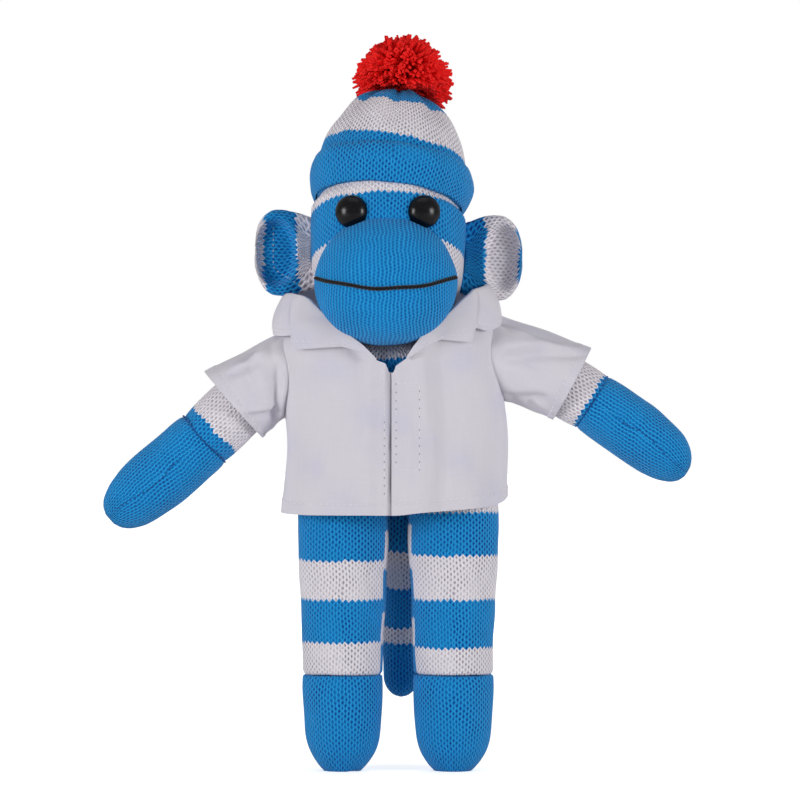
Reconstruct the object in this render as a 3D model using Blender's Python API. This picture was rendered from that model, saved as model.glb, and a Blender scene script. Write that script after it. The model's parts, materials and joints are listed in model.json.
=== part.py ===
"""Sock monkey doll in a short cotton coat, standing on its soles, face towards -Y.

The doll's frame: +Z up, +X to the viewer's right, the floor at zero height.
Left and right are the viewer's. Lengths are in metres, angles in degrees.
"""
import math

import bmesh
import bpy
import numpy as np
from mathutils import Matrix, Vector

# Fits
SEAM_GAP = 0.0003
OVERRUN = 0.02

# How finely a form is divided
HEAD_SIDES = 24
LIMB_SIDES = 20
SMALL_SIDES = 16

# Placing of the whole doll, so that its box is centred on the origin
DOLL_SHIFT_X = 0.0004
DOLL_SHIFT_Y = 0.0048

# Body line
HIP_HEIGHT = 0.1286
TORSO_HEIGHT = 0.0494
NECK_HEIGHT = HIP_HEIGHT + TORSO_HEIGHT
NECK_SHIFT = -0.004
SHOULDER_SLOPE = 0.07

# Torso
TORSO_WIDTH = 0.080
TORSO_DEPTH = 0.042
TORSO_SQUARENESS = 2.4
# height, width, depth, shoulder slope
torso_shares = (
    (0.00, 0.90, 0.02, 0.0),
    (0.08, 0.95, 0.16, 0.0),
    (0.18, 0.99, 0.38, 0.0),
    (0.30, 1.00, 0.63, 0.0),
    (0.42, 1.00, 0.86, 0.1),
    (0.54, 0.985, 0.98, 0.4),
    (0.66, 0.95, 1.00, 0.8),
    (0.76, 0.90, 0.96, 1.0),
    (0.84, 0.82, 0.89, 1.0),
    (0.91, 0.66, 0.78, 0.6),
    (0.96, 0.50, 0.66, 0.2),
    (1.00, 0.36, 0.58, 0.0),
)

# Head
HEAD_WIDTH = 0.064
HEAD_DEPTH = 0.060
HEAD_HEIGHT = 0.0927
HEAD_SQUARENESS = 2.15
# height, width, depth, backward lean
head_shares = (
    (0.00, 0.42, 0.44, 0.0),
    (0.05, 0.62, 0.62, 0.0),
    (0.12, 0.79, 0.78, 0.0),
    (0.22, 0.93, 0.91, 0.0),
    (0.33, 0.985, 0.98, 0.0),
    (0.45, 1.00, 1.00, 0.0),
    (0.57, 1.00, 0.99, 0.0),
    (0.68, 0.955, 0.94, 0.01),
    (0.78, 0.87, 0.84, 0.03),
    (0.87, 0.74, 0.71, 0.05),
    (0.94, 0.56, 0.54, 0.07),
    (0.985, 0.31, 0.30, 0.08),
    (1.00, 0.12, 0.12, 0.08),
)

# Muzzle
MUZZLE_WIDTH = 0.059
MUZZLE_HEIGHT = 0.053
MUZZLE_DEPTH = 0.050
MUZZLE_RISE = 0.0245
MUZZLE_CENTER_HEIGHT = NECK_HEIGHT + MUZZLE_RISE
MUZZLE_CENTER_FORWARD = 0.022
MUZZLE_SIDE_SHIFT = -0.001
MUZZLE_SQUARENESS = 2.15
MUZZLE_RINGS = 14
CHIN_CLEARANCE = 0.0018

# Mouth, one thread across the muzzle
MOUTH_THREAD_DIAMETER = 0.0012
MOUTH_DROP = 0.0037
MOUTH_CORNER_RISE = 0.0052
MOUTH_POINTS = 26
mouth_reach_share = 0.955

# Safety eyes: a dome on a shank, held by a washer inside the head
EYE_DIAMETER = 0.0133
EYE_DOME_HEIGHT = 0.0056
EYE_EDGE = 0.0006
EYE_SPACING = 0.0303
EYE_RISE = 0.0536
EYE_HEIGHT = NECK_HEIGHT + EYE_RISE
EYE_SINK = 0.0008
EYE_SPLAY = 14
SHANK_DIAMETER = 0.004
SHANK_LENGTH = 0.009
WASHER_DIAMETER = 0.0105
WASHER_THICKNESS = 0.001
WASHER_DEPTH_IN = 0.0028

# Ears
EAR_HEIGHT = 0.0355
EAR_THICKNESS = 0.0112
EAR_REACH = 0.0235
EAR_ROOT_RADIUS = 0.0019
EAR_RISES = (0.0368, 0.0345)
EAR_SQUARENESS = 2.2
# reach from the hinge line, height, thickness
ear_shares = (
    (0.00, 0.86, 0.34),
    (0.10, 0.91, 0.50),
    (0.26, 0.97, 0.76),
    (0.44, 1.00, 0.94),
    (0.62, 0.98, 1.00),
    (0.78, 0.88, 0.92),
    (0.90, 0.70, 0.72),
    (0.97, 0.46, 0.46),
    (1.00, 0.22, 0.20),
)
scoop_height_share = 0.72
scoop_reach_share = 0.62
scoop_center_share = 0.55
scoop_depth_share = 0.52

# Hat: crown, folded cuff, pompom and its tie
HAT_BASE_RISE = 0.0558
HAT_LEAN_BACK = 17.5
HAT_LEAN_SIDE = 5.5
CROWN_WIDTH = 0.0616
CROWN_DEPTH = 0.0606
CROWN_HEIGHT = 0.050
CROWN_CLOTH = 0.0012
CROWN_HEM = 0.0015
CROWN_SQUARENESS = 2.3
CROWN_STEPS = 8
CUFF_HEIGHT = 0.0172
CUFF_THICKNESS = 0.0034
CUFF_OUTLINE_POINTS = 12
CUFF_ROUNDNESS = 3.2
POMPOM_WIDTH = 0.0414
POMPOM_HEIGHT = 0.029
POMPOM_CENTER_RISE = 0.0102
POMPOM_BASE_RISE = 0.0006
POMPOM_RINGS = 9
POMPOM_SQUARENESS = 2.1
TIE_DIAMETER = 0.0026
TIE_REACH = 0.0045
KNOT_DIAMETER = 0.0044
KNOT_DROP = 0.0042
TIE_HOLE_CLEARANCE = 0.0005

# Arms: a ball root, a white upper arm and a blue mitten
SHOULDER_SPAN = 0.0915
SHOULDER_DROP = 0.0072
SHOULDER_HEIGHT = NECK_HEIGHT - SHOULDER_DROP
ARM_DROPS = (40.6, 32.6)
ARM_BOWS = (0.0, 0.0027)
ARM_WIDTH = 0.0256
ARM_DEPTH = 0.0246
ARM_ROOT_DIAMETER = 0.023
ARM_LENGTH = 0.0925
MITTEN_LENGTH = 0.0508
ROOT_RINGS = 4
# length, width, depth of the upper arm past its root
arm_shares = (
    (0.16, 0.955, 0.955),
    (0.36, 1.00, 1.00),
    (0.62, 1.01, 1.01),
    (0.86, 1.00, 1.00),
    (0.965, 0.98, 0.98),
    (1.00, 0.90, 0.90),
)
mitten_shares = (
    (0.00, 0.90, 0.90),
    (0.025, 0.985, 0.98),
    (0.16, 1.02, 1.00),
    (0.40, 1.02, 1.00),
    (0.62, 0.97, 0.94),
    (0.79, 0.86, 0.83),
    (0.91, 0.66, 0.62),
    (0.975, 0.42, 0.38),
    (1.00, 0.20, 0.18),
)

# Legs hang on the hip line, feet are sewn to them
LEG_SPREAD = 0.0458
LEG_WIDTH = 0.0382
LEG_DEPTH = 0.0364
ANKLE_HEIGHT = 0.0398
LEG_SQUARENESS = 2.1
# drop below the hip line, width, depth
leg_shares = (
    (1.00, 0.82, 0.85),
    (0.985, 0.865, 0.90),
    (0.84, 0.885, 0.92),
    (0.62, 0.93, 0.965),
    (0.42, 0.97, 1.00),
    (0.30, 0.99, 0.99),
    (0.225, 0.99, 0.93),
    (0.165, 0.975, 0.76),
    (0.11, 0.955, 0.52),
    (0.055, 0.93, 0.25),
    (0.00, 0.90, 0.02),
)
SOLE_CUT = 0.0005
# height, width, depth
foot_shares = (
    (0.00, 0.40, 0.52),
    (0.012, 0.425, 0.545),
    (0.10, 0.515, 0.65),
    (0.20, 0.60, 0.745),
    (0.34, 0.715, 0.83),
    (0.50, 0.825, 0.895),
    (0.70, 0.875, 0.925),
    (0.88, 0.88, 0.925),
    (0.98, 0.865, 0.90),
    (1.00, 0.82, 0.85),
)

# Tail: a base sewn to the torso and the part below its bend
TAIL_DIAMETER = 0.0148
TAIL_SIDE_SHIFT = 0.0012
TAIL_BEND_DROP = 0.0326
TAIL_BEND_HEIGHT = HIP_HEIGHT - TAIL_BEND_DROP
TAIL_BEND_BACK = 0.0185
TAIL_TIP_DROP = 0.1
TAIL_TIP_HEIGHT = HIP_HEIGHT - TAIL_TIP_DROP
TAIL_TIP_BACK = 0.0325
TAIL_ROOT_RISE = 0.0134
TAIL_ROOT_HEIGHT = HIP_HEIGHT + TAIL_ROOT_RISE
TAIL_ROOT_BACK = 0.0115
TAIL_SWING = 45
# way from the root to the bend, backward way, thickness
tail_base_shares = (
    (0.00, 0.00, 0.64),
    (0.14, 0.24, 0.78),
    (0.34, 0.55, 0.90),
    (0.56, 0.79, 0.97),
    (0.80, 0.96, 1.00),
    (1.00, 1.00, 1.00),
)
# way from the bend to the tip, backward way, thickness
tail_shares = (
    (0.00, 0.00, 1.00),
    (0.18, 0.23, 1.02),
    (0.40, 0.52, 1.03),
    (0.62, 0.77, 1.02),
    (0.80, 0.92, 0.98),
    (0.91, 0.975, 0.82),
    (0.975, 0.995, 0.52),
    (1.00, 1.00, 0.24),
)

# Coat
COAT_SIDE_ROOM = 0.0065
COAT_ROOM = 0.004
COAT_WIDTH = TORSO_WIDTH + 2 * COAT_SIDE_ROOM
COAT_DEPTH = TORSO_DEPTH + 2 * COAT_ROOM
COAT_HEM_DROP = 0.0226
COAT_HEM_HEIGHT = HIP_HEIGHT - COAT_HEM_DROP
COAT_TOP_RISE = 0.0105
COAT_TOP_HEIGHT = NECK_HEIGHT + COAT_TOP_RISE
COAT_CLOTH = 0.0008
COAT_SQUARENESS = 2.4
COAT_ROWS = 12
FRONT_COLUMNS = 11
BACK_COLUMNS = 20
LAP_EDGE = -0.0023
UNDERLAP = 0.0115
LAP_FADE = 0.010
FOLD_DEPTH = 0.0012
FOLD_COUNT = 9
# height, width, depth, shoulder slope
coat_shares = (
    (0.00, 1.00, 1.09, 0.0),
    (0.16, 0.99, 1.045, 0.0),
    (0.34, 0.985, 0.98, 0.0),
    (0.50, 0.985, 0.92, 0.1),
    (0.64, 0.985, 0.90, 0.4),
    (0.76, 0.99, 0.895, 0.9),
    (0.86, 0.985, 0.92, 1.0),
    (0.93, 0.95, 0.965, 1.0),
    (0.975, 0.85, 0.995, 0.9),
    (1.00, 0.68, 1.01, 0.7),
)
fold_top_share = 0.55

# Hook-and-loop strips between the fronts
STRIP_WIDTH = 0.0091
STRIP_HEIGHT = 0.035
STRIP_THICKNESS = 0.0008
STRIP_EDGE = -0.0004
STRIP_BASE_RISE = 0.019
STRIP_BASE_HEIGHT = COAT_HEM_HEIGHT + STRIP_BASE_RISE
STRIP_COLUMNS = 4
STRIP_ROWS = 10

# Neck opening of the coat: half width at each height over its point
NECK_POINT_DROP = 0.0118
NECK_POINT_HEIGHT = NECK_HEIGHT - NECK_POINT_DROP
NECK_OPENING_WIDTH = 0.060
NECK_OPENING_HEIGHT = 0.0235
NECK_FRONT_DEPTH = 0.0047
neck_opening_shares = ((0.0, 0.05), (0.36, 0.35), (0.70, 0.67), (1.0, 1.0))

# Collar
COLLAR_CLOTH = 0.0012
COLLAR_LIFT = 0.0008
COLLAR_FOLD_WIDTH = 0.080
COLLAR_FOLD_DEPTH = 0.060
COLLAR_POINT_DROP = 0.0108
COLLAR_POINT_HEIGHT = NECK_HEIGHT - COLLAR_POINT_DROP
COLLAR_HEIGHT = 0.036
COLLAR_COLUMNS = 36
COLLAR_ROWS = 4
COLLAR_FIRST_ANGLE = 5
# turn from the front, fold height, edge height, stand of the fold off the coat
collar_shares = (
    (0.00, 0.055, 0.00, 0.0),
    (0.10, 0.19, 0.13, 0.0),
    (0.22, 0.40, 0.24, 0.05),
    (0.34, 0.62, 0.34, 0.45),
    (0.42, 0.72, 0.41, 0.85),
    (0.50, 0.735, 0.55, 1.0),
    (0.58, 0.80, 0.44, 1.0),
    (0.75, 0.94, 0.36, 1.0),
    (1.00, 1.00, 0.32, 1.0),
)

# Sleeves
ARMHOLE_HEIGHT = 0.0362
ARMHOLE_DEPTH = 0.0284
ARMHOLE_DROP = 0.0036
# place across and drop below the neck
SLEEVE_OPENINGS = ((-0.0683, 0.0263), (0.0722, 0.0176))
SLEEVE_HEIGHTS = (0.0362, 0.0334)
SLEEVE_DEPTHS = (0.0322, 0.0350)
SLEEVE_DROPS = (41.4, 28.0)
SLEEVE_CAP = 0.0032
SLEEVE_ROWS = 5
SLEEVE_COLUMNS = 22

# Colours, roughness
BLUE_KNIT = ((0.012, 0.262, 0.680), 0.85)
WHITE_KNIT = ((0.730, 0.700, 0.790), 0.85)
WHITE_COTTON = ((0.680, 0.650, 0.700), 0.80)
RED_YARN = ((0.580, 0.010, 0.010), 0.90)
BLACK_YARN = ((0.006, 0.006, 0.009), 0.80)
BLACK_PLASTIC = ((0.004, 0.004, 0.006), 0.08)
WHITE_PLASTIC = ((0.750, 0.750, 0.740), 0.40)
GREY_NYLON = ((0.420, 0.420, 0.440), 0.70)


def clear_scene():
    for item in list(bpy.data.objects):
        bpy.data.objects.remove(item, do_unlink=True)


def finish_material(name, finish):
    color, roughness = finish
    material = bpy.data.materials.new(name)
    material.use_nodes = True
    shader = material.node_tree.nodes["Principled BSDF"]
    shader.inputs["Base Color"].default_value = (*color, 1)
    shader.inputs["Roughness"].default_value = roughness
    shader.inputs["Metallic"].default_value = 0
    material.diffuse_color = (*color, 1)
    return material


def joint_point(name, place, parent):
    """An empty on a joint's axis, at a place in the doll's frame."""
    empty = bpy.data.objects.new(name, None)
    bpy.context.scene.collection.objects.link(empty)
    empty.parent = parent
    empty.location = Vector(place) - joint_place(parent)
    return empty


def joint_place(joint):
    """Where a joint's empty lies in the doll's frame; its chain is never turned."""
    place = Vector()
    while joint.parent:
        place += joint.location
        joint = joint.parent
    return place


def piece_from(name, bm, finish, joint, place=(0, 0, 0), turn=(0, 0, 0)):
    """A named piece of one mesh, set at a place in the doll's frame."""
    mesh = bpy.data.meshes.new(name)
    bm.normal_update()
    bm.to_mesh(mesh)
    bm.free()
    mesh.shade_smooth()
    mesh.set_sharp_from_angle(angle=math.radians(50))
    piece = bpy.data.objects.new(name, mesh)
    bpy.context.scene.collection.objects.link(piece)
    piece.parent = joint
    piece.location = Vector(place) - joint_place(joint)
    piece.rotation_euler = [math.radians(angle) for angle in turn]
    if finish:
        mesh.materials.append(finish_material(name, finish))
    return piece


def hide_guide(guide):
    guide.hide_render = True
    guide.display_type = "WIRE"
    return guide


def cut_by(piece, guide):
    """Cut a piece by a hidden guide."""
    cut = piece.modifiers.new("cut_by_" + guide.name, "BOOLEAN")
    cut.operation = "DIFFERENCE"
    cut.solver = "EXACT"
    cut.object = guide


def grown_guide(piece, gap):
    """A guide with a piece's own form, grown by a gap on every side."""
    bm = bmesh.new()
    bm.from_mesh(piece.data)
    bm.normal_update()
    moves = [vert.normal * gap * vert.calc_shell_factor() for vert in bm.verts]
    for vert, move in zip(bm.verts, moves):
        vert.co += move
    guide = piece_from(piece.name + "_guide", bm, None, piece.parent)
    guide.location = piece.location
    guide.rotation_euler = piece.rotation_euler
    return hide_guide(guide)


def oval(angle, half_width, half_depth, squareness):
    """A point of a rounded oval; the angle turns from +X towards +Y."""
    across, along = math.cos(angle), math.sin(angle)
    reach = (abs(across / half_width) ** squareness + abs(along / half_depth) ** squareness)
    reach = reach ** (-1 / squareness)
    return Vector((across * reach, along * reach, 0))


def bulge(share, squareness):
    """Half width of a rounded form, as a share, at a share of its half length."""
    return max(0.0, 1 - abs(share) ** squareness) ** (1 / squareness)


def loft(rings, sides, squareness=2.0, loop=False):
    """Skin over rings of (matrix, half width, half depth), each in its matrix's XY plane.

    A ring of no width is a point, an open end gets a flat cap, a loop joins its ends.
    """
    bm = bmesh.new()
    rows = []
    for matrix, half_width, half_depth in rings:
        if half_width <= 0:
            rows.append([bm.verts.new(matrix.translation)])
            continue
        corners = [oval(math.tau * i / sides, half_width, half_depth, squareness) for i in range(sides)]
        rows.append([bm.verts.new(matrix @ corner) for corner in corners])
    pairs = list(zip(rows, rows[1:]))
    if loop:
        pairs.append((rows[-1], rows[0]))
    for low, high in pairs:
        for i in range(sides):
            j = (i + 1) % sides
            if len(low) == 1:
                bm.faces.new((low[0], high[j], high[i]))
            elif len(high) == 1:
                bm.faces.new((low[i], low[j], high[0]))
            else:
                bm.faces.new((low[i], low[j], high[j], high[i]))
    if not loop and len(rows[0]) > 1:
        bm.faces.new(reversed(rows[0]))
    if not loop and len(rows[-1]) > 1:
        bm.faces.new(rows[-1])
    return bm


def at(x, y, z):
    return Matrix.Translation((x, y, z))


def rounded_rings(half_width, half_depth, half_height, count, squareness, low=-1.0):
    """Rings of a rounded body about its centre, from a low share to its top."""
    first = math.asin(low)
    rings = []
    for i in range(count + 1):
        rise = math.sin(first + (math.pi / 2 - first) * i / count)
        share = bulge(rise, squareness)
        rings.append((at(0, 0, half_height * rise), half_width * share, half_depth * share))
    return rings


def sheet(front, back, wrap=False):
    """A cloth between two grids of points, each given row by row; a wrapped one is a tube."""
    bm = bmesh.new()
    rows = [[bm.verts.new(point) for point in row] for row in front]
    columns = len(rows[0])
    for low, high in zip(rows, rows[1:]):
        for i in range(columns if wrap else columns - 1):
            j = (i + 1) % columns
            bm.faces.new((low[i], low[j], high[j], high[i]))
    outer = [vert for row in rows for vert in row]
    inner = {vert: bm.verts.new(point) for vert, point in zip(outer, sum(back, []))}
    for face in list(bm.faces):
        bm.faces.new([inner[vert] for vert in reversed(face.verts)])
    rims = [edge for edge in bm.edges if len(edge.link_faces) == 1 and edge.verts[0] in inner]
    for edge in rims:
        loop = edge.link_loops[0]
        start, end = loop.vert, loop.link_loop_next.vert
        bm.faces.new((end, start, inner[start], inner[end]))
    return bm


def table_at(shares, place, column):
    """A table's column at a share of its first column."""
    return float(np.interp(place, [row[0] for row in shares], [row[column] for row in shares]))


def smooth(share):
    share = min(1.0, max(0.0, share))
    return share * share * (3 - 2 * share)


def body_shift(height):
    """The body leans: its middle shifts sideways from the hips to the neck."""
    return NECK_SHIFT * smooth((height - HIP_HEIGHT) / (NECK_HEIGHT - HIP_HEIGHT))


def side_sign(side):
    return (-1, 1)[side]


def sloped(slope):
    """Lifts a ring on the viewer's right as the shoulders are."""
    matrix = Matrix.Identity(4)
    matrix[2][0] = SHOULDER_SLOPE * slope
    return matrix


def shoulder_place(side):
    reach = side_sign(side) * SHOULDER_SPAN / 2
    return Vector((body_shift(SHOULDER_HEIGHT) + reach, 0, SHOULDER_HEIGHT + SHOULDER_SLOPE * reach))


def ball(name, radius, joint, place):
    """A round guide at a place."""
    rings = rounded_rings(radius, radius, radius, SMALL_SIDES // 2, 2)
    return hide_guide(piece_from(name, loft(rings, LIMB_SIDES), None, joint, place))


def rod(name, radius_x, radius_y, start, length, joint, place, turn):
    """A straight guide along its own Z."""
    rings = [(at(0, 0, start), radius_x, radius_y), (at(0, 0, start + length), radius_x, radius_y)]
    return hide_guide(piece_from(name, loft(rings, SMALL_SIDES), None, joint, place, turn))


def make_torso(body):
    base = HIP_HEIGHT + SEAM_GAP
    height = NECK_HEIGHT - base
    rings = []
    for rise, width, depth, slope in torso_shares:
        level = base + rise * height
        matrix = at(body_shift(level), 0, level) @ sloped(slope)
        rings.append((matrix, TORSO_WIDTH / 2 * width, TORSO_DEPTH / 2 * depth))
    torso = piece_from("torso", loft(rings, HEAD_SIDES, TORSO_SQUARENESS), BLUE_KNIT, body)
    for side in range(2):
        socket = ball(f"shoulder_socket_{side}", ARM_ROOT_DIAMETER / 2 + SEAM_GAP, body, shoulder_place(side))
        cut_by(torso, socket)
    return torso


def head_base():
    return NECK_HEIGHT + SEAM_GAP


def make_head(neck):
    rings = []
    for rise, width, depth, lean in head_shares:
        matrix = at(NECK_SHIFT, lean * HEAD_DEPTH, head_base() + rise * HEAD_HEIGHT)
        rings.append((matrix, HEAD_WIDTH / 2 * width, HEAD_DEPTH / 2 * depth))
    return piece_from("head", loft(rings, HEAD_SIDES, HEAD_SQUARENESS), BLUE_KNIT, neck)


def face_front(across, height):
    """How far forward the face lies, beside its middle and at a height."""
    rise = (height - head_base()) / HEAD_HEIGHT
    half_width = HEAD_WIDTH / 2 * table_at(head_shares, rise, 1)
    half_depth = HEAD_DEPTH / 2 * table_at(head_shares, rise, 2)
    lean = HEAD_DEPTH * table_at(head_shares, rise, 3)
    return lean - half_depth * bulge(across / half_width, HEAD_SQUARENESS)


def muzzle_center():
    return Vector((NECK_SHIFT + MUZZLE_SIDE_SHIFT, -MUZZLE_CENTER_FORWARD, MUZZLE_CENTER_HEIGHT))


def make_muzzle(neck, head, torso):
    rings = rounded_rings(
        MUZZLE_WIDTH / 2, MUZZLE_DEPTH / 2, MUZZLE_HEIGHT / 2, MUZZLE_RINGS, MUZZLE_SQUARENESS)
    skin = loft(rings, HEAD_SIDES, MUZZLE_SQUARENESS)
    muzzle = piece_from("muzzle", skin, BLUE_KNIT, neck, muzzle_center())
    cut_by(muzzle, grown_guide(head, SEAM_GAP))
    cut_by(muzzle, grown_guide(torso, CHIN_CLEARANCE))
    return muzzle


def make_mouth(neck):
    """One thread that lies on the muzzle from side to side."""
    center = muzzle_center()
    radius = MOUTH_THREAD_DIAMETER / 2
    half_width = MUZZLE_WIDTH / 2 + radius + SEAM_GAP
    half_depth = MUZZLE_DEPTH / 2 + radius + SEAM_GAP
    half_height = MUZZLE_HEIGHT / 2 + radius + SEAM_GAP
    line = bpy.data.curves.new("mouth_thread", "CURVE")
    line.dimensions = "3D"
    line.bevel_depth = radius
    line.bevel_resolution = 1
    line.use_fill_caps = True
    spline = line.splines.new("POLY")
    spline.points.add(MOUTH_POINTS - 1)
    for i, point in enumerate(spline.points):
        across = math.sin(math.pi * (i / (MOUTH_POINTS - 1) - 1 / 2)) * mouth_reach_share
        rise = MOUTH_CORNER_RISE * across * across - MOUTH_DROP
        room = 1 - abs(across) ** MUZZLE_SQUARENESS
        level = bulge(rise / half_height, MUZZLE_SQUARENESS)
        ahead = half_depth * level * room ** (1 / MUZZLE_SQUARENESS)
        point.co = (half_width * level * across, -ahead, rise, 1)
    line.materials.append(finish_material("mouth_thread", BLACK_YARN))
    thread = bpy.data.objects.new("mouth_thread", line)
    bpy.context.scene.collection.objects.link(thread)
    thread.parent = neck
    thread.location = center - joint_place(neck)
    return thread


def eye_rings():
    """A flat-backed dome on its shank, the dome's back at zero height."""
    radius, shank = EYE_DIAMETER / 2, SHANK_DIAMETER / 2
    rings = [
        (at(0, 0, -SHANK_LENGTH), shank - EYE_EDGE, shank - EYE_EDGE),
        (at(0, 0, EYE_EDGE - SHANK_LENGTH), shank, shank),
        (at(0, 0, 0), shank, shank),
        (at(0, 0, 0), radius - EYE_EDGE, radius - EYE_EDGE),
    ]
    for i in range(SMALL_SIDES // 2):
        angle = math.pi / SMALL_SIDES * i
        rise = EYE_EDGE + (EYE_DOME_HEIGHT - EYE_EDGE) * math.sin(angle)
        rings.append((at(0, 0, rise), radius * math.cos(angle), radius * math.cos(angle)))
    rings.append((at(0, 0, EYE_DOME_HEIGHT), 0, 0))
    return rings


def make_eye(side, neck, head, muzzle):
    word = ("left", "right")[side]
    across = side_sign(side) * EYE_SPACING / 2
    ahead = face_front(across, EYE_HEIGHT) + EYE_SINK
    place = (NECK_SHIFT + across, ahead, EYE_HEIGHT)
    turn = (90, 0, side_sign(side) * EYE_SPLAY)
    eye = piece_from("eye_" + word, loft(eye_rings(), LIMB_SIDES), BLACK_PLASTIC, neck, place, turn)
    outer, inner = WASHER_DIAMETER / 2, SHANK_DIAMETER / 2 + SEAM_GAP
    far, near = -WASHER_DEPTH_IN - WASHER_THICKNESS, -WASHER_DEPTH_IN
    rings = [(at(0, 0, level), radius, radius)
             for level, radius in ((far, outer), (near, outer), (near, inner), (far, inner))]
    skin = loft(rings, LIMB_SIDES, loop=True)
    washer = piece_from("eye_washer_" + word, skin, WHITE_PLASTIC, neck, place, turn)
    eye_guide = grown_guide(eye, SEAM_GAP)
    pocket = rod(f"washer_pocket_{word}", outer + SEAM_GAP, outer + SEAM_GAP, far - SEAM_GAP,
                 WASHER_THICKNESS + 2 * SEAM_GAP, neck, place, turn)
    cut_by(head, eye_guide)
    cut_by(head, pocket)
    cut_by(muzzle, eye_guide)
    return eye, washer


def ear_place(side):
    reach = HEAD_WIDTH / 2 + SEAM_GAP + EAR_ROOT_RADIUS
    return Vector((NECK_SHIFT + side_sign(side) * reach, 0, NECK_HEIGHT + EAR_RISES[side]))


def make_ear(side, joint):
    """A stuffed ear on a round root, with a dish in its front."""
    reach = EAR_REACH - EAR_ROOT_RADIUS - SEAM_GAP
    root_height = EAR_HEIGHT / 2 * ear_shares[0][1]
    rings = []
    for i in range(ROOT_RINGS):
        angle = math.pi / 2 * (i / ROOT_RINGS - 1) * (1 - 1 / (2 * ROOT_RINGS))
        level = EAR_ROOT_RADIUS * math.sin(angle)
        rings.append((at(0, 0, level), root_height + level, EAR_ROOT_RADIUS * math.cos(angle)))
    for way, height, thickness in ear_shares:
        rings.append((at(0, 0, way * reach), EAR_HEIGHT / 2 * height, EAR_THICKNESS / 2 * thickness))
    word = ("left", "right")[side]
    turn = (0, side_sign(side) * 90, 0)
    skin = loft(rings, LIMB_SIDES, EAR_SQUARENESS)
    ear = piece_from("ear_" + word, skin, BLUE_KNIT, joint, ear_place(side), turn)
    middle = Vector((side_sign(side) * reach * scoop_center_share, -EAR_THICKNESS / 2, 0))
    bowl = rounded_rings(reach / 2 * scoop_reach_share, EAR_THICKNESS * scoop_depth_share,
                         EAR_HEIGHT / 2 * scoop_height_share, SMALL_SIDES // 2, 2)
    skin = loft(bowl, LIMB_SIDES)
    scoop = hide_guide(piece_from("ear_scoop_" + word, skin, None, joint, ear_place(side) + middle))
    cut_by(ear, scoop)
    return ear


def hat_place():
    return Vector((NECK_SHIFT, 0, NECK_HEIGHT + HAT_BASE_RISE))


def hat_turn():
    return (-HAT_LEAN_BACK, HAT_LEAN_SIDE, 0)


def hat_matrix():
    lean_back = Matrix.Rotation(math.radians(-HAT_LEAN_BACK), 4, "X")
    lean_side = Matrix.Rotation(math.radians(HAT_LEAN_SIDE), 4, "Y")
    return Matrix.Translation(hat_place()) @ lean_side @ lean_back


def dome_rings(inset):
    """The crown's dome from its hem to its top, inside its outer face by an inset."""
    top = CROWN_HEIGHT - inset
    first = math.asin(CROWN_HEM / top)
    rings = []
    for i in range(CROWN_STEPS + 1):
        rise = math.sin(first + (math.pi / 2 - first) * i / CROWN_STEPS)
        share = bulge(rise, CROWN_SQUARENESS)
        rings.append((at(0, 0, top * rise), (CROWN_WIDTH / 2 - inset) * share,
                      (CROWN_DEPTH / 2 - inset) * share))
    return rings


def make_crown(neck):
    rings = list(reversed(dome_rings(CROWN_CLOTH))) + dome_rings(0)
    skin = loft(rings, HEAD_SIDES, HEAD_SQUARENESS)
    crown = piece_from("hat_crown", skin, BLUE_KNIT, neck, hat_place(), hat_turn())
    radius = TIE_DIAMETER / 2 + TIE_HOLE_CLEARANCE
    hole = rod("tie_hole", radius, radius, CROWN_HEIGHT - KNOT_DROP, 2 * KNOT_DROP,
               neck, hat_place(), hat_turn())
    cut_by(crown, hole)
    return crown


def make_cuff(neck):
    """A thick folded band round the crown's hem."""
    rings = []
    for i in range(CUFF_OUTLINE_POINTS):
        edge = oval(math.tau * i / CUFF_OUTLINE_POINTS, CUFF_THICKNESS / 2, CUFF_HEIGHT / 2, CUFF_ROUNDNESS)
        level = CUFF_HEIGHT / 2 + edge.y
        out = SEAM_GAP + CUFF_THICKNESS / 2 + edge.x
        share = bulge(level / CROWN_HEIGHT, CROWN_SQUARENESS)
        rings.append((at(0, 0, level), CROWN_WIDTH / 2 * share + out, CROWN_DEPTH / 2 * share + out))
    skin = loft(rings, HEAD_SIDES, HEAD_SQUARENESS, loop=True)
    return piece_from("hat_cuff", skin, BLUE_KNIT, neck, hat_place(), hat_turn())


def make_pompom(joint):
    radius, half_height = POMPOM_WIDTH / 2, POMPOM_HEIGHT / 2
    center = CROWN_HEIGHT + POMPOM_CENTER_RISE
    low = (POMPOM_BASE_RISE - POMPOM_CENTER_RISE) / half_height
    body = rounded_rings(radius, radius, half_height, POMPOM_RINGS, POMPOM_SQUARENESS, low)
    rings = [(at(0, 0, center) @ matrix, width, depth) for matrix, width, depth in body]
    skin = loft(rings, HEAD_SIDES)
    pompom = piece_from("pompom", skin, RED_YARN, joint, hat_place(), hat_turn())
    knot, stem = KNOT_DIAMETER / 2, TIE_DIAMETER / 2
    knot_level, top = CROWN_HEIGHT - KNOT_DROP, CROWN_HEIGHT + TIE_REACH
    last = math.acos(stem / knot)
    rings = [(at(0, 0, knot_level - knot), 0, 0)]
    for i in range(1, SMALL_SIDES // 2):
        angle = (last + math.pi / 2) * i / (SMALL_SIDES // 2) - math.pi / 2
        level = knot_level + knot * math.sin(angle)
        rings.append((at(0, 0, level), knot * math.cos(angle), knot * math.cos(angle)))
    rings += [(at(0, 0, knot_level + knot), stem, stem), (at(0, 0, top - stem / 2), stem, stem),
              (at(0, 0, top), stem / 2, stem / 2)]
    skin = loft(rings, SMALL_SIDES)
    tie = piece_from("pompom_tie", skin, RED_YARN, joint, hat_place(), hat_turn())
    cut_by(pompom, grown_guide(tie, SEAM_GAP))
    return pompom, tie


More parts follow.
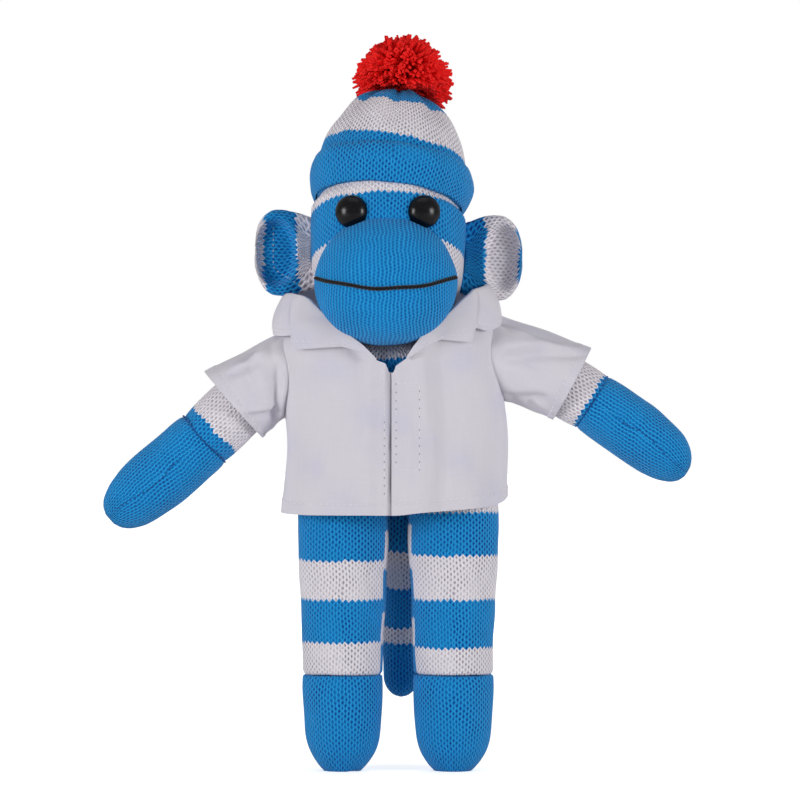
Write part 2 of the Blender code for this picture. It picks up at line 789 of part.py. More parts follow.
def make_arm(side, joint):
    """A white upper arm with a ball root and the mitten sewn to its end."""
    word = ("left", "right")[side]
    sign = side_sign(side)
    turn = (0, sign * (90 + ARM_DROPS[side]), 0)
    upper_length = ARM_LENGTH - MITTEN_LENGTH
    root = ARM_ROOT_DIAMETER / 2

    def centered(level):
        share = max(0.0, level / ARM_LENGTH)
        return at(-sign * ARM_BOWS[side] * 4 * share * (1 - share), 0, level)

    rings = []
    for i in range(ROOT_RINGS + 1):
        angle = math.pi / 2 * (i / ROOT_RINGS - 1) * (1 - 1 / (3 * ROOT_RINGS))
        radius = root * math.cos(angle)
        rings.append((centered(root * math.sin(angle)), radius, radius))
    for way, width, depth in arm_shares:
        rings.append((centered(way * upper_length), ARM_WIDTH / 2 * width, ARM_DEPTH / 2 * depth))
    arm = piece_from("arm_" + word, loft(rings, LIMB_SIDES), WHITE_KNIT, joint, shoulder_place(side), turn)
    start = upper_length + SEAM_GAP
    rings = []
    for way, width, depth in mitten_shares:
        level = start + way * (ARM_LENGTH - start)
        rings.append((centered(level), ARM_WIDTH / 2 * width, ARM_DEPTH / 2 * depth))
    skin = loft(rings, LIMB_SIDES)
    mitten = piece_from("mitten_" + word, skin, BLUE_KNIT, joint, shoulder_place(side), turn)
    return arm, mitten


def cut_flat(bm, height):
    """Cut a form flat at a height and close it there."""
    parts = bm.verts[:] + bm.edges[:] + bm.faces[:]
    cut = bmesh.ops.bisect_plane(
        bm, geom=parts, plane_co=(0, 0, height), plane_no=(0, 0, 1), clear_inner=True)
    rim = [item for item in cut["geom_cut"] if isinstance(item, bmesh.types.BMEdge)]
    bmesh.ops.edgeloop_fill(bm, edges=rim)
    bmesh.ops.recalc_face_normals(bm, faces=bm.faces[:])


def make_leg(side, joint):
    """A striped leg that flattens to the hip line, and the foot sewn to its end."""
    word = ("left", "right")[side]
    across = side_sign(side) * LEG_SPREAD / 2
    top, bottom = HIP_HEIGHT - SEAM_GAP, ANKLE_HEIGHT + SEAM_GAP
    rings = [(at(across, 0, top - drop * (top - bottom)), LEG_WIDTH / 2 * width, LEG_DEPTH / 2 * depth)
             for drop, width, depth in leg_shares]
    leg = piece_from("leg_" + word, loft(rings, LIMB_SIDES, LEG_SQUARENESS), BLUE_KNIT, joint)
    rings = [(at(across, 0, rise * (ANKLE_HEIGHT + SOLE_CUT) - SOLE_CUT), LEG_WIDTH / 2 * width,
              LEG_DEPTH / 2 * depth) for rise, width, depth in foot_shares]
    skin = loft(rings, LIMB_SIDES, LEG_SQUARENESS)
    cut_flat(skin, 0)
    foot = piece_from("foot_" + word, skin, BLUE_KNIT, joint)
    return leg, foot


def tail_rings(start, end, shares):
    """Rings square to the tail's way, from its start down to its end."""
    middles = [(start[0] + back * (end[0] - start[0]), start[1] + way * (end[1] - start[1]))
               for way, back, _ in shares]
    rings = []
    for i, (back, height) in enumerate(middles):
        before, after = middles[max(0, i - 1)], middles[min(len(middles) - 1, i + 1)]
        lean = math.atan2(after[0] - before[0], before[1] - after[1])
        matrix = at(TAIL_SIDE_SHIFT, back, height) @ Matrix.Rotation(lean, 4, "X")
        radius = TAIL_DIAMETER / 2 * shares[i][2]
        rings.append((matrix, radius, radius))
    return rings


def tail_bend():
    return Vector((TAIL_SIDE_SHIFT, TAIL_BEND_BACK, TAIL_BEND_HEIGHT))


def make_tail(body, joint, torso):
    """A base on the torso's back and the part that swings from its bend."""
    radius = TAIL_DIAMETER / 2
    rim = TAIL_BEND_HEIGHT + radius * math.sin(math.radians(TAIL_SWING)) + 2 * SEAM_GAP
    rings = tail_rings((TAIL_ROOT_BACK, TAIL_ROOT_HEIGHT), (TAIL_BEND_BACK, rim), tail_base_shares)
    base = piece_from("tail_base", loft(reversed(rings), LIMB_SIDES), WHITE_KNIT, body)
    cut_by(base, ball("tail_socket", radius + SEAM_GAP, body, tail_bend()))
    cut_by(base, grown_guide(torso, SEAM_GAP))
    rings = tail_rings(
        (TAIL_BEND_BACK, TAIL_BEND_HEIGHT), (TAIL_TIP_BACK, TAIL_TIP_HEIGHT), tail_shares)
    rings.reverse()
    for i in range(1, ROOT_RINGS + 1):
        angle = math.pi / 2 * i / ROOT_RINGS
        level = TAIL_BEND_HEIGHT + radius * math.sin(angle)
        width = radius * math.cos(angle) if i < ROOT_RINGS else 0
        rings.append((at(TAIL_SIDE_SHIFT, TAIL_BEND_BACK, level), width, width))
    tail = piece_from("tail", loft(rings, LIMB_SIDES), BLUE_KNIT, joint)
    return base, tail


def lap_rise():
    """How far the lapping front stands off, over the strips and the front below it."""
    return 2 * STRIP_THICKNESS + COAT_CLOTH + 4 * SEAM_GAP


def lap_fade(across):
    return 1 - smooth((abs(across) - UNDERLAP) / LAP_FADE)


def coat_size(height):
    rise = (height - COAT_HEM_HEIGHT) / (COAT_TOP_HEIGHT - COAT_HEM_HEIGHT)
    half_width = COAT_WIDTH / 2 * table_at(coat_shares, rise, 1)
    half_depth = COAT_DEPTH / 2 * table_at(coat_shares, rise, 2)
    return half_width, half_depth, SHOULDER_SLOPE * table_at(coat_shares, rise, 3)


def coat_fold(turn, height):
    """The skirt's folds deepen towards the hem and leave the front's middle flat."""
    rise = (height - COAT_HEM_HEIGHT) / (COAT_TOP_HEIGHT - COAT_HEM_HEIGHT)
    fade = max(0.0, 1 - rise / fold_top_share) * smooth(abs(turn) - 1 / 2)
    return FOLD_DEPTH * fade * math.sin(FOLD_COUNT * turn)


def coat_point(turn, height, out=0.0):
    """A point on the coat; the turn in radians runs from the front to the viewer's right."""
    half_width, half_depth, slope = coat_size(height)
    point = oval(turn - math.pi / 2, half_width, half_depth, COAT_SQUARENESS)
    power = COAT_SQUARENESS - 1
    across = math.copysign(abs(point.x / half_width) ** power, point.x) / half_width
    along = math.copysign(abs(point.y / half_depth) ** power, point.y) / half_depth
    point += Vector((across, along, 0)).normalized() * (out + coat_fold(turn, height))
    return Vector((point.x + body_shift(height), point.y, height + slope * point.x))


def front_turn(x, height):
    """The turn at which the coat's front crosses a place across."""
    half_width, half_depth, _ = coat_size(height)
    across = x - body_shift(height)
    return math.atan2(across, half_depth * bulge(across / half_width, COAT_SQUARENESS))


def row_heights():
    return np.linspace(COAT_HEM_HEIGHT, COAT_TOP_HEIGHT, COAT_ROWS)


def even_turns(start, end, count):
    """Turns between two, closer where the coat's side is round."""
    def eased(turn):
        ease = math.atan2(math.sin(turn) / COAT_WIDTH, math.cos(turn) / COAT_DEPTH)
        return ease + math.tau * round((turn - ease) / math.tau)

    def back_again(ease):
        turn = math.atan2(math.sin(ease) * COAT_WIDTH, math.cos(ease) * COAT_DEPTH)
        return turn + math.tau * round((ease - turn) / math.tau)

    return [back_again(ease) for ease in np.linspace(eased(start), eased(end), count)]


def neck_guides(body):
    """The coat's neck opening: a point in front that widens to the shoulders."""
    half_width = NECK_OPENING_WIDTH / 2
    right = [(share * half_width, rise * NECK_OPENING_HEIGHT) for rise, share in neck_opening_shares]
    right.append((half_width, NECK_OPENING_HEIGHT + OVERRUN))
    outline = right + [(-across, rise) for across, rise in reversed(right)]
    bm = bmesh.new()
    front = [bm.verts.new((across, -COAT_DEPTH, rise)) for across, rise in outline]
    face = bm.faces.new(front)
    thick = bmesh.ops.extrude_face_region(bm, geom=[face])
    moved = [item for item in thick["geom"] if isinstance(item, bmesh.types.BMVert)]
    bmesh.ops.translate(bm, verts=moved, vec=(0, COAT_DEPTH - NECK_FRONT_DEPTH, 0))
    bmesh.ops.recalc_face_normals(bm, faces=bm.faces[:])
    place = (NECK_SHIFT, 0, NECK_POINT_HEIGHT)
    return hide_guide(piece_from("neck_opening", bm, None, body, place))


def armhole_place(side):
    return shoulder_place(side) - Vector((0, 0, ARMHOLE_DROP))


def armhole_guide(side, body):
    sign = side_sign(side)
    start = COAT_WIDTH / 2 - shoulder_reach_in()
    place = Vector((body_shift(SHOULDER_HEIGHT), 0, armhole_place(side).z))
    return rod(f"armhole_{side}", ARMHOLE_HEIGHT / 2 - COAT_CLOTH, ARMHOLE_DEPTH / 2 - COAT_CLOTH,
               start, shoulder_reach_in() + OVERRUN, body, place, (0, sign * 90, 0))


def shoulder_reach_in():
    """How far in from the coat's side the armhole's cut begins."""
    return ARM_ROOT_DIAMETER / 2


def make_coat(body):
    """The back, the front that lies below, and the front that laps over it."""
    seam_turn = SEAM_GAP / COAT_WIDTH
    side_turn = math.pi / 2

    def panel(name, start, end, columns, rise=0.0):
        front, inner = [], []
        for height in row_heights():
            turns = even_turns(start(height), end(height), columns)
            outs = [rise * lap_fade(coat_point(turn, height).x - body_shift(height)) for turn in turns]
            front.append([coat_point(turn, height, out) for turn, out in zip(turns, outs)])
            inner.append([coat_point(turn, height, out - COAT_CLOTH) for turn, out in zip(turns, outs)])
        bm = sheet(front, inner)
        bmesh.ops.triangulate(bm, faces=bm.faces[:])
        return piece_from(name, bm, WHITE_COTTON, body)

    back = panel("coat_back", lambda height: side_turn + seam_turn,
                 lambda height: 3 * side_turn - seam_turn, BACK_COLUMNS)
    left = panel("coat_front_left", lambda height: seam_turn - side_turn,
                 lambda height: front_turn(UNDERLAP, height), FRONT_COLUMNS)
    right = panel("coat_front_right", lambda height: front_turn(LAP_EDGE, height),
                  lambda height: side_turn - seam_turn, FRONT_COLUMNS, lap_rise())
    opening = neck_guides(body)
    cut_by(left, opening)
    cut_by(right, opening)
    for side, front in enumerate((left, right)):
        hole = armhole_guide(side, body)
        cut_by(front, hole)
        cut_by(back, hole)
    return back, left, right


def make_strips(body):
    """The loop strip on the front below, the hook strip behind the lapping front."""
    layers = (("loop_strip", 1), ("hook_strip", 2))
    for name, layer in layers:
        out = layer * (STRIP_THICKNESS + SEAM_GAP)
        front, inner = [], []
        for height in np.linspace(STRIP_BASE_HEIGHT, STRIP_BASE_HEIGHT + STRIP_HEIGHT, STRIP_ROWS):
            turns = [front_turn(x, height)
                     for x in np.linspace(STRIP_EDGE, STRIP_EDGE + STRIP_WIDTH, STRIP_COLUMNS)]
            front.append([coat_point(turn, height, out) for turn in turns])
            inner.append([coat_point(turn, height, out - STRIP_THICKNESS) for turn in turns])
        piece_from(name, sheet(front, inner), GREY_NYLON, body)


def collar_point(turn, row, inward):
    """A point of the collar, from its fold at row 0 to its edge at row 1."""
    share = abs(turn) / math.pi
    fold_height = COLLAR_POINT_HEIGHT + COLLAR_HEIGHT * table_at(collar_shares, share, 1)
    edge_height = COLLAR_POINT_HEIGHT + COLLAR_HEIGHT * table_at(collar_shares, share, 2)
    stand = table_at(collar_shares, share, 3)

    def lying(height):
        across = coat_point(turn, height).x - body_shift(height)
        out = COLLAR_CLOTH + COLLAR_LIFT - inward + lap_rise() * lap_fade(across)
        return coat_point(turn, height, out)

    height = fold_height + (edge_height - fold_height) * row
    edge = lying(edge_height)
    fold = oval(turn - math.pi / 2, COLLAR_FOLD_WIDTH / 2 - inward, COLLAR_FOLD_DEPTH / 2 - inward,
                COAT_SQUARENESS)
    fold = Vector((fold.x + NECK_SHIFT, fold.y, fold_height))
    return lying(min(height, COAT_TOP_HEIGHT)).lerp(fold.lerp(edge, row), stand)


def make_collar(body):
    first = math.radians(COLLAR_FIRST_ANGLE)
    turns = even_turns(first, math.tau - first, COLLAR_COLUMNS)
    turns = [turn if turn <= math.pi else turn - math.tau for turn in turns]
    grids = [[[collar_point(turn, 1 - row, inward) for turn in turns]
              for row in np.linspace(0, 1, COLLAR_ROWS)] for inward in (0, COLLAR_CLOTH)]
    return piece_from("collar", sheet(*grids), WHITE_COTTON, body)


def wall_x(side, y, height):
    """Where the coat's side lies across at a depth and a height."""
    sign = side_sign(side)
    x = sign * COAT_WIDTH / 2
    for _ in range(3):
        nominal = height - coat_size(height)[2] * x
        half_width, half_depth, _ = coat_size(nominal)
        x = sign * half_width * bulge(y / half_depth, COAT_SQUARENESS)
    return x + body_shift(nominal)


def make_sleeve(side, body, panels):
    """A short sleeve from the armhole to its wider opening."""
    sign = side_sign(side)
    hole = armhole_place(side)
    drop = math.radians(SLEEVE_DROPS[side])
    up = Vector((sign * math.sin(drop), 0, math.cos(drop)))
    across, below = SLEEVE_OPENINGS[side]
    middle = Vector((across, 0, NECK_HEIGHT - below))

    def sleeve_point(way, turn, inward):
        ahead, above = -math.cos(turn), math.sin(turn)
        y = (ARMHOLE_DEPTH / 2 - inward) * ahead
        z = hole.z + (ARMHOLE_HEIGHT / 2 - inward) * above
        start = Vector((wall_x(side, y, z) - sign * COAT_CLOTH / 2, y, z))
        end = middle + up * ((SLEEVE_HEIGHTS[side] / 2 - inward) * above)
        end.y = (SLEEVE_DEPTHS[side] / 2 - inward) * ahead
        cap = SLEEVE_CAP * math.sin(math.pi * way) * max(0.0, above)
        return start.lerp(end, way) + up * cap

    turns = [-sign * math.tau * i / SLEEVE_COLUMNS for i in range(SLEEVE_COLUMNS)]
    grids = [[[sleeve_point(way, turn, inward) for turn in turns]
              for way in np.linspace(0, 1, SLEEVE_ROWS)] for inward in (0, COAT_CLOTH)]
    word = ("left", "right")[side]
    sleeve = piece_from("sleeve_" + word, sheet(*grids, wrap=True), WHITE_COTTON, body)
    for panel in panels:
        cut_by(sleeve, grown_guide(panel, SEAM_GAP))
    return sleeve


def main():
    clear_scene()
    doll = joint_point_root()
    neck = joint_point("neck_turn", (NECK_SHIFT, 0, NECK_HEIGHT), doll)
    hips = [joint_point("hip_" + word, (side_sign(side) * LEG_SPREAD / 2, 0, HIP_HEIGHT), doll)
            for side, word in enumerate(("left", "right"))]
    shoulders = [joint_point("shoulder_" + word, shoulder_place(side), doll)
                 for side, word in enumerate(("left", "right"))]
    ears = [joint_point("ear_flap_" + word, ear_place(side), neck)
            for side, word in enumerate(("left", "right"))]
    tail_swing = joint_point("tail_swing", tail_bend(), doll)
    tie_place = hat_matrix() @ Vector((0, 0, CROWN_HEIGHT - CROWN_CLOTH / 2))
    wobble = joint_point("pompom_wobble", tie_place, neck)

    torso = make_torso(doll)
    head = make_head(neck)
    muzzle = make_muzzle(neck, head, torso)
    make_mouth(neck)
    for side in range(2):
        make_eye(side, neck, head, muzzle)
        make_ear(side, ears[side])
        make_arm(side, shoulders[side])
        make_leg(side, hips[side])
    crown, cuff = make_crown(neck), make_cuff(neck)
    cut_by(head, grown_guide(crown, SEAM_GAP))
    cut_by(head, grown_guide(cuff, SEAM_GAP))
    make_pompom(wobble)
    make_tail(doll, tail_swing, torso)
    back, left, right = make_coat(doll)
    for side, front in enumerate((left, right)):
        make_sleeve(side, doll, (front, back))
    make_strips(doll)
    collar = make_collar(doll)
    chin = grown_guide(muzzle, SEAM_GAP)
    for cloth in (collar, left):
        cut_by(cloth, chin)
    bpy.context.view_layer.update()


def joint_point_root():
    """The empty that carries the whole doll."""
    doll = bpy.data.objects.new("doll", None)
    bpy.context.scene.collection.objects.link(doll)
    doll.location = (DOLL_SHIFT_X, DOLL_SHIFT_Y, 0)
    return doll


main()
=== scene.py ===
"""Looks of a sock monkey doll in a short cotton coat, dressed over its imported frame."""

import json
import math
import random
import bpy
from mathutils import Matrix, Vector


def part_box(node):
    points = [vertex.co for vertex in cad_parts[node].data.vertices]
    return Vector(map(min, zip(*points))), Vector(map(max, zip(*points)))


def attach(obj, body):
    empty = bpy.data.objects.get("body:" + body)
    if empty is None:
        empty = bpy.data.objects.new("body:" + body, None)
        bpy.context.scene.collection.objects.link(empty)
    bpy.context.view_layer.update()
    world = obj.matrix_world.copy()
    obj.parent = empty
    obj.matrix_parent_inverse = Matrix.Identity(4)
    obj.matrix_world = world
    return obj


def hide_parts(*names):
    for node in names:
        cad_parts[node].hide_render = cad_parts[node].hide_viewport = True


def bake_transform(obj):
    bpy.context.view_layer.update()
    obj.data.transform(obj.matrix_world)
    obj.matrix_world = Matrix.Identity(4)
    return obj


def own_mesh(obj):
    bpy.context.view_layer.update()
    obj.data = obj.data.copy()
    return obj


bl_info = {
    "name": "Sock Monkey Doll",
    "version": (1, 0, 0),
    "blender": (4, 5, 0),
    "location": "3D View > Sidebar > Sock Doll",
    "description": "Builds the knit skins, coat, cap, pompom and studio of a jointed sock monkey doll",
    "category": "Object",
}

import bpy
import numpy as np
from bpy.props import FloatProperty, FloatVectorProperty, IntProperty, PointerProperty
from bpy.types import Operator, Panel, PropertyGroup
from mathutils import Matrix, Vector, noise

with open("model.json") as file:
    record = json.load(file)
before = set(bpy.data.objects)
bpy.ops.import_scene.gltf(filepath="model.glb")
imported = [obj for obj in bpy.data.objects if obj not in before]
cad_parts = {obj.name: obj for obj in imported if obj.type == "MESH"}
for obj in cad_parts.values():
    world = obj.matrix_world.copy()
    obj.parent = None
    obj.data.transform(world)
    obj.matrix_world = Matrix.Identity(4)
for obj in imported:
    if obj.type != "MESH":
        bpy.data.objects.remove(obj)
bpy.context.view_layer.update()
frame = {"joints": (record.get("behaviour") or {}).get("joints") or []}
JOINTS = {joint["name"]: Vector(joint["pos_m"]) for joint in frame["joints"]}
HIPS = (JOINTS["hip_left"] + JOINTS["hip_right"]) / 2
NECK = JOINTS["neck_turn"]
WORDS = ("left", "right")
SIGNS = (-1, 1)


def extent(node):
    """A node's size along each axis."""
    low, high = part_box(node)
    return high - low


def length(name, text, default, unit="LENGTH"):
    return FloatProperty(name=name, description=text, default=default, min=0, precision=5, unit=unit)


def colour(name, text, default):
    return FloatVectorProperty(
        name=name, description=text, default=default, size=3, min=0, max=1, subtype="COLOR")


class DollSizes(PropertyGroup):
    """Sizes of the stuffed pieces."""

    head_width: length("Head width", "Across the head above the ears", extent("head").x)
    head_depth: length("Head depth", "From face to back", extent("head").y)
    muzzle_width: length("Muzzle width", "Across the stuffed muzzle", extent("muzzle").x)
    muzzle_height: length("Muzzle height", "Full height of the stuffed muzzle", 0.053)
    muzzle_depth: length("Muzzle depth", "Full depth of the stuffed muzzle", 0.050)
    eye_diameter: length("Eye diameter", "Across one safety eye", extent("eye_left").z)
    ear_height: length("Ear height", "Height of one ear", extent("ear_left").z)
    ear_thickness: length("Ear thickness", "Thickness of one ear before it is dished", 0.0112)
    arm_width: length("Arm width", "Across the stuffed arm", 0.0256)
    arm_depth: length("Arm depth", "Front to back of the stuffed arm", 0.0246)
    leg_width: length("Leg width", "Across the stuffed leg", 0.0382)
    leg_depth: length("Leg depth", "Front to back of the stuffed leg", 0.0364)
    tail_diameter: length("Tail diameter", "Thickness of the tail", 0.0148)
    pompom_width: length("Pompom width", "Across the pompom", 0.0414)
    lumpiness: length("Lumpiness", "How far the filling pushes the skin out", 0.0005)


class KnitLook(PropertyGroup):
    """Stitch size and yarn colours of the knit."""

    wale: length("Wale width", "Width of one column of stitches", 0.0028)
    course: length("Course height", "Height of one row of stitches", 0.00225)
    relief: length("Relief", "Height of the stitches' bump", 0.00055)
    blue: colour("Blue yarn", "The blue of the sock yarn", (0.0050, 0.222, 0.590))
    # Painted highlight: a paler blue painted on the yarn's lit crests
    blue_painted_highlight: colour("Pale blue", "The lit crest of a blue yarn", (0.036, 0.450, 0.880))
    # Painted shade: the dark painted into the holes between blue stitches
    blue_hole_shade: colour("Blue gap", "What shows between blue stitches", (0.001, 0.052, 0.260))
    white: colour("White yarn", "The white of the sock yarn", (0.820, 0.770, 0.825))
    # Painted highlight: a paler white painted on the yarn's lit crests
    white_painted_highlight: colour("Pale white", "The lit crest of a white yarn", (0.880, 0.845, 0.900))
    # Painted shade: the dark painted into the holes between white stitches
    white_hole_shade: colour("White gap", "What shows between white stitches", (0.300, 0.275, 0.335))
    red: colour("Red yarn", "The pompom's yarn", (0.920, 0.020, 0.018))
    black: colour("Black yarn", "The mouth's yarn", (0.007, 0.007, 0.010))


class CoatLook(PropertyGroup):
    """Cut and cloth of the coat."""

    cotton: colour("Cotton", "The coat's cloth", (0.665, 0.635, 0.690))
    shade: colour("Cotton shade", "The cooler tone in the cloth's soft patches", (0.590, 0.580, 0.680))
    thread: colour("Sewing thread", "Topstitching thread", (0.850, 0.825, 0.850))
    cloth: length("Cloth", "Thickness of the cotton", 0.0008)
    hem: length("Hem", "Height of the turned hem", 0.0046)
    stitch: length("Stitch", "Pitch of the topstitching", 0.0024)
    placket_stitch: length("Placket stitch", "Pitch of the stitches at the closing", 0.0032)
    wrinkles: length("Wrinkles", "Depth of the soft wrinkles", 0.0009)


class StudioLook(PropertyGroup):
    """Lamps, floor and camera."""

    lamp_power: FloatProperty(name="Lamp power", description="Power of the left softbox", default=9.0, min=0)
    ambient: FloatProperty(name="Ambient", description="Strength of the even light", default=0.28, min=0)
    floor_colour: colour("Floor", "Plain round floor", (0.93, 0.93, 0.93))
    camera_distance: length("Camera distance", "From the lens to the doll", 2.0)
    view_width: length("View width", "Width seen at the doll", 0.332)
    view_height: length("View centre height", "Height of the middle of the view", 0.1536)
    view_side: FloatProperty(name="View side", description="Place of the view's middle across",
                             default=0.0012, precision=4, unit="LENGTH")


# Forms

def curve_at(table, places, column):
    """A smooth curve through a table's column that keeps within its values."""
    rows = sorted(table)
    xs = np.array([row[0] for row in rows], float)
    ys = np.array([row[column] for row in rows], float)
    slopes = np.diff(ys) / np.diff(xs)
    tangents = np.concatenate(([slopes[0]], np.zeros(len(xs) - 2), [slopes[-1]]))
    for i in range(1, len(xs) - 1):
        before, after = slopes[i - 1], slopes[i]
        if before * after > 0:
            tangents[i] = 2 * before * after / (before + after)
    places = np.clip(np.asarray(places, float), xs[0], xs[-1])
    i = np.clip(np.searchsorted(xs, places, side="right") - 1, 0, len(xs) - 2)
    step = xs[i + 1] - xs[i]
    t = (places - xs[i]) / step
    return ((1 + 2 * t) * (1 - t) ** 2 * ys[i] + t * (1 - t) ** 2 * step * tangents[i]
            + t * t * (3 - 2 * t) * ys[i + 1] - t * t * (1 - t) * step * tangents[i + 1])


def smooth(share):
    """Shares kept within 0 and 1 and eased at both ends."""
    share = np.clip(share, 0, 1)
    return share * share * (3 - 2 * share)


def softly(share):
    return float(smooth(share))


def shares_at(*runs):
    """Shares along a piece, from runs of (first, last, count)."""
    return np.concatenate([np.linspace(*run) for run in runs])


def running(path):
    """Running length along a path of points."""
    return np.concatenate(([0], np.cumsum(np.linalg.norm(np.diff(path, axis=0), axis=1))))


def oval(turns, half_width, half_depth, squareness):
    """Points of a rounded oval; the turns run from +X towards +Y."""
    across, along = np.cos(turns), np.sin(turns)
    reach = np.abs(across / half_width) ** squareness + np.abs(along / half_depth) ** squareness
    reach = reach ** (-1 / squareness)
    return np.stack([across * reach, along * reach, np.zeros_like(across)], -1)


def bulge(share, squareness):
    return max(0.0, 1 - abs(share) ** squareness) ** (1 / squareness)


def placed(points, matrix):
    """Points moved by a matrix."""
    turn = np.array(matrix.to_3x3())
    return points @ turn.T + np.array(matrix.translation)


def rings_of(matrices, half_widths, half_depths, squareness, sides):
    """Rings of points, one for each matrix."""
    turns = np.linspace(0, math.tau, sides, endpoint=False) - math.pi / 2
    return np.array([placed(oval(turns, width, depth, squareness), matrix)
                     for matrix, width, depth in zip(matrices, half_widths, half_depths)])


def rounded(half_width, half_depth, half_height, squareness, count, low=-1.0, high=1.0):
    """Heights and half sizes of a rounded body from its low share to its high one."""
    rises = np.sin(np.linspace(math.asin(low), math.asin(high), count))
    shares = np.maximum(0.004, (1 - np.abs(rises) ** squareness).clip(0) ** (1 / squareness))
    return rises * half_height, shares * half_width, shares * half_depth


def new_mesh(name, points, faces, uvs=None):
    """A smooth mesh object; uvs holds a pair for every face corner."""
    mesh = bpy.data.meshes.new(name)
    mesh.from_pydata([tuple(point) for point in points], [], faces)
    if uvs is not None:
        layer = mesh.uv_layers.new(name="cloth")
        layer.uv.foreach_set("vector", np.asarray(uvs, np.float32).ravel())
    mesh.shade_smooth()
    item = bpy.data.objects.new(name, mesh)
    bpy.context.scene.collection.objects.link(item)
    return item


def rod_faces(base, rows, sides, clockwise=False):
    """Faces of a capped rod whose rings of points start at base."""
    faces = []
    for low in range(base, base + (rows - 1) * sides, sides):
        for c in range(sides):
            d = (c + 1) % sides
            faces.append((low + c, low + d, low + sides + d, low + sides + c))
    last = base + (rows - 1) * sides
    faces += [tuple(base + c for c in reversed(range(sides))), tuple(last + c for c in range(sides))]
    return [(face[0], *face[:0:-1]) for face in faces] if clockwise else faces


def tube(name, rings, us, vs, offsets=None, loop=False):
    """A closed skin over rings of points.

    us gives a column's place across the cloth and has one more than the sides, vs a ring's place
    along it, and offsets moves single columns of faces along it. A loop joins its last ring to
    its first, and then vs has one more than the rings.
    """
    rows, sides = rings.shape[:2]
    points = list(rings.reshape(-1, 3))
    faces, uvs = [], []
    for r in range(rows if loop else rows - 1):
        above = (r + 1) % rows
        for c in range(sides):
            d = (c + 1) % sides
            faces.append((r * sides + c, r * sides + d, above * sides + d, above * sides + c))
            slip = 0 if offsets is None else offsets[c]
            uvs += [(us[c], vs[r] + slip), (us[c + 1], vs[r] + slip),
                    (us[c + 1], vs[r + 1] + slip), (us[c], vs[r + 1] + slip)]
    if not loop:
        low, high, top = len(points), len(points) + 1, (rows - 1) * sides
        points += [rings[0].mean(0), rings[-1].mean(0)]
        for c in range(sides):
            d = (c + 1) % sides
            faces.append((low, d, c))
            uvs += [(us[c], vs[0]), (us[c + 1], vs[0]), (us[c], vs[0])]
            faces.append((high, top + c, top + d))
            uvs += [(us[c], vs[-1]), (us[c], vs[-1]), (us[c + 1], vs[-1])]
    return new_mesh(name, points, faces, uvs)


def columns_of(rings, pitch):
    """Where each column lies across the cloth, in whole stitches round the widest ring."""
    girths = np.linalg.norm(np.roll(rings, -1, 1) - rings, axis=2)
    widest = girths[girths.sum(1).argmax()]
    count = round(widest.sum() / pitch)
    return np.concatenate(([0], np.cumsum(widest))) / widest.sum() * count


def rows_of(rings, pitch):
    """Where each ring lies along the cloth, in stitches."""
    steps = np.linalg.norm(np.diff(rings, axis=0), axis=2).mean(1)
    return np.concatenate(([0], np.cumsum(steps))) / pitch


def relay(item, place):
    """Lay a skin's knit anew; place turns a corner's spot and pair into its new pair."""
    layer = item.data.uv_layers["cloth"].uv
    for loop in item.data.loops:
        corner = layer[loop.index]
        corner.vector = place(item.data.vertices[loop.vertex_index].co, corner.vector)


def swell(item, amount, size, seed):
    """Push a skin in and out as lumpy filling does."""
    vertices = item.data.vertices
    places, normals = np.empty(len(vertices) * 3), np.empty(len(vertices) * 3)
    vertices.foreach_get("co", places)
    vertices.foreach_get("normal", normals)
    places, normals = places.reshape(-1, 3), normals.reshape(-1, 3)
    shift = np.array((7.3, 3.1, -5.7)) * seed
    lumps = [noise.noise(Vector(spot)) for spot in places / size + shift]
    vertices.foreach_set("co", (places + normals * amount * np.array(lumps)[:, None]).ravel())
    item.data.update()


def finish(item, material, slot, body=None, replaces=()):
    """Give a piece its material, its place in the frame and the nodes it stands for."""
    item.data.materials.append(material)
    if body:
        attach(item, body)
    if replaces:
        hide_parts(*replaces)
    return item


def stitches(name, lines, size, dash=0.62, sink=0.25):
    """One mesh of short thread dashes along lines of (points, outward directions, pitch).

    A line may also give the half width of the holes between its dashes, flat dark discs of painted shade in a
    second material.
    """
    points, faces, dark = [], [], []
    around = np.linspace(0, math.tau, 6, endpoint=False)
    profile = ((-0.5, 0.05, -0.9), (-0.42, 0.75, -0.2), (-0.15, 1.0, 0.3), (0.15, 1.0, 0.3),
               (0.42, 0.75, -0.2), (0.5, 0.05, -0.9))
    for path, outs, pitch, *hole in lines:
        path, outs = np.asarray(path, float), np.asarray(outs, float)
        steps = running(path)
        count = max(1, int(steps[-1] / pitch))

        def at(values, place):
            return np.array([np.interp(place, steps, values[:, i]) for i in range(3)])

        for k in range(count):
            middle = (k + 0.5) * steps[-1] / count
            base = len(points)
            ahead = at(path, middle + pitch * 0.3) - at(path, middle - pitch * 0.3)
            out = at(outs, middle)
            side = np.cross(out, ahead)
            side /= np.linalg.norm(side)
            out /= np.linalg.norm(out)
            for along, thick, lift in profile:
                spot = at(path, middle + along * dash * pitch)
                for turn in around:
                    points.append(spot + out * size * (lift - sink + thick * math.cos(turn))
                                  + side * size * thick * math.sin(turn))
            faces += rod_faces(base, len(profile), len(around))
            # Each hole is a flat dark disc of painted shade where the thread pierces and puckers the cloth
            if hole:
                spot = at(path, middle + pitch / 2) + out * 0.00012
                ahead /= np.linalg.norm(ahead)
                base = len(points)
                points += [spot + hole[0] * (ahead * math.cos(turn) + side * math.sin(turn))
                           for turn in around]
                dark.append(len(faces))
                faces.append(tuple(range(base, len(points))))
    item = new_mesh(name, points, faces)
    for i in dark:
        item.data.polygons[i].material_index = 1
    return item


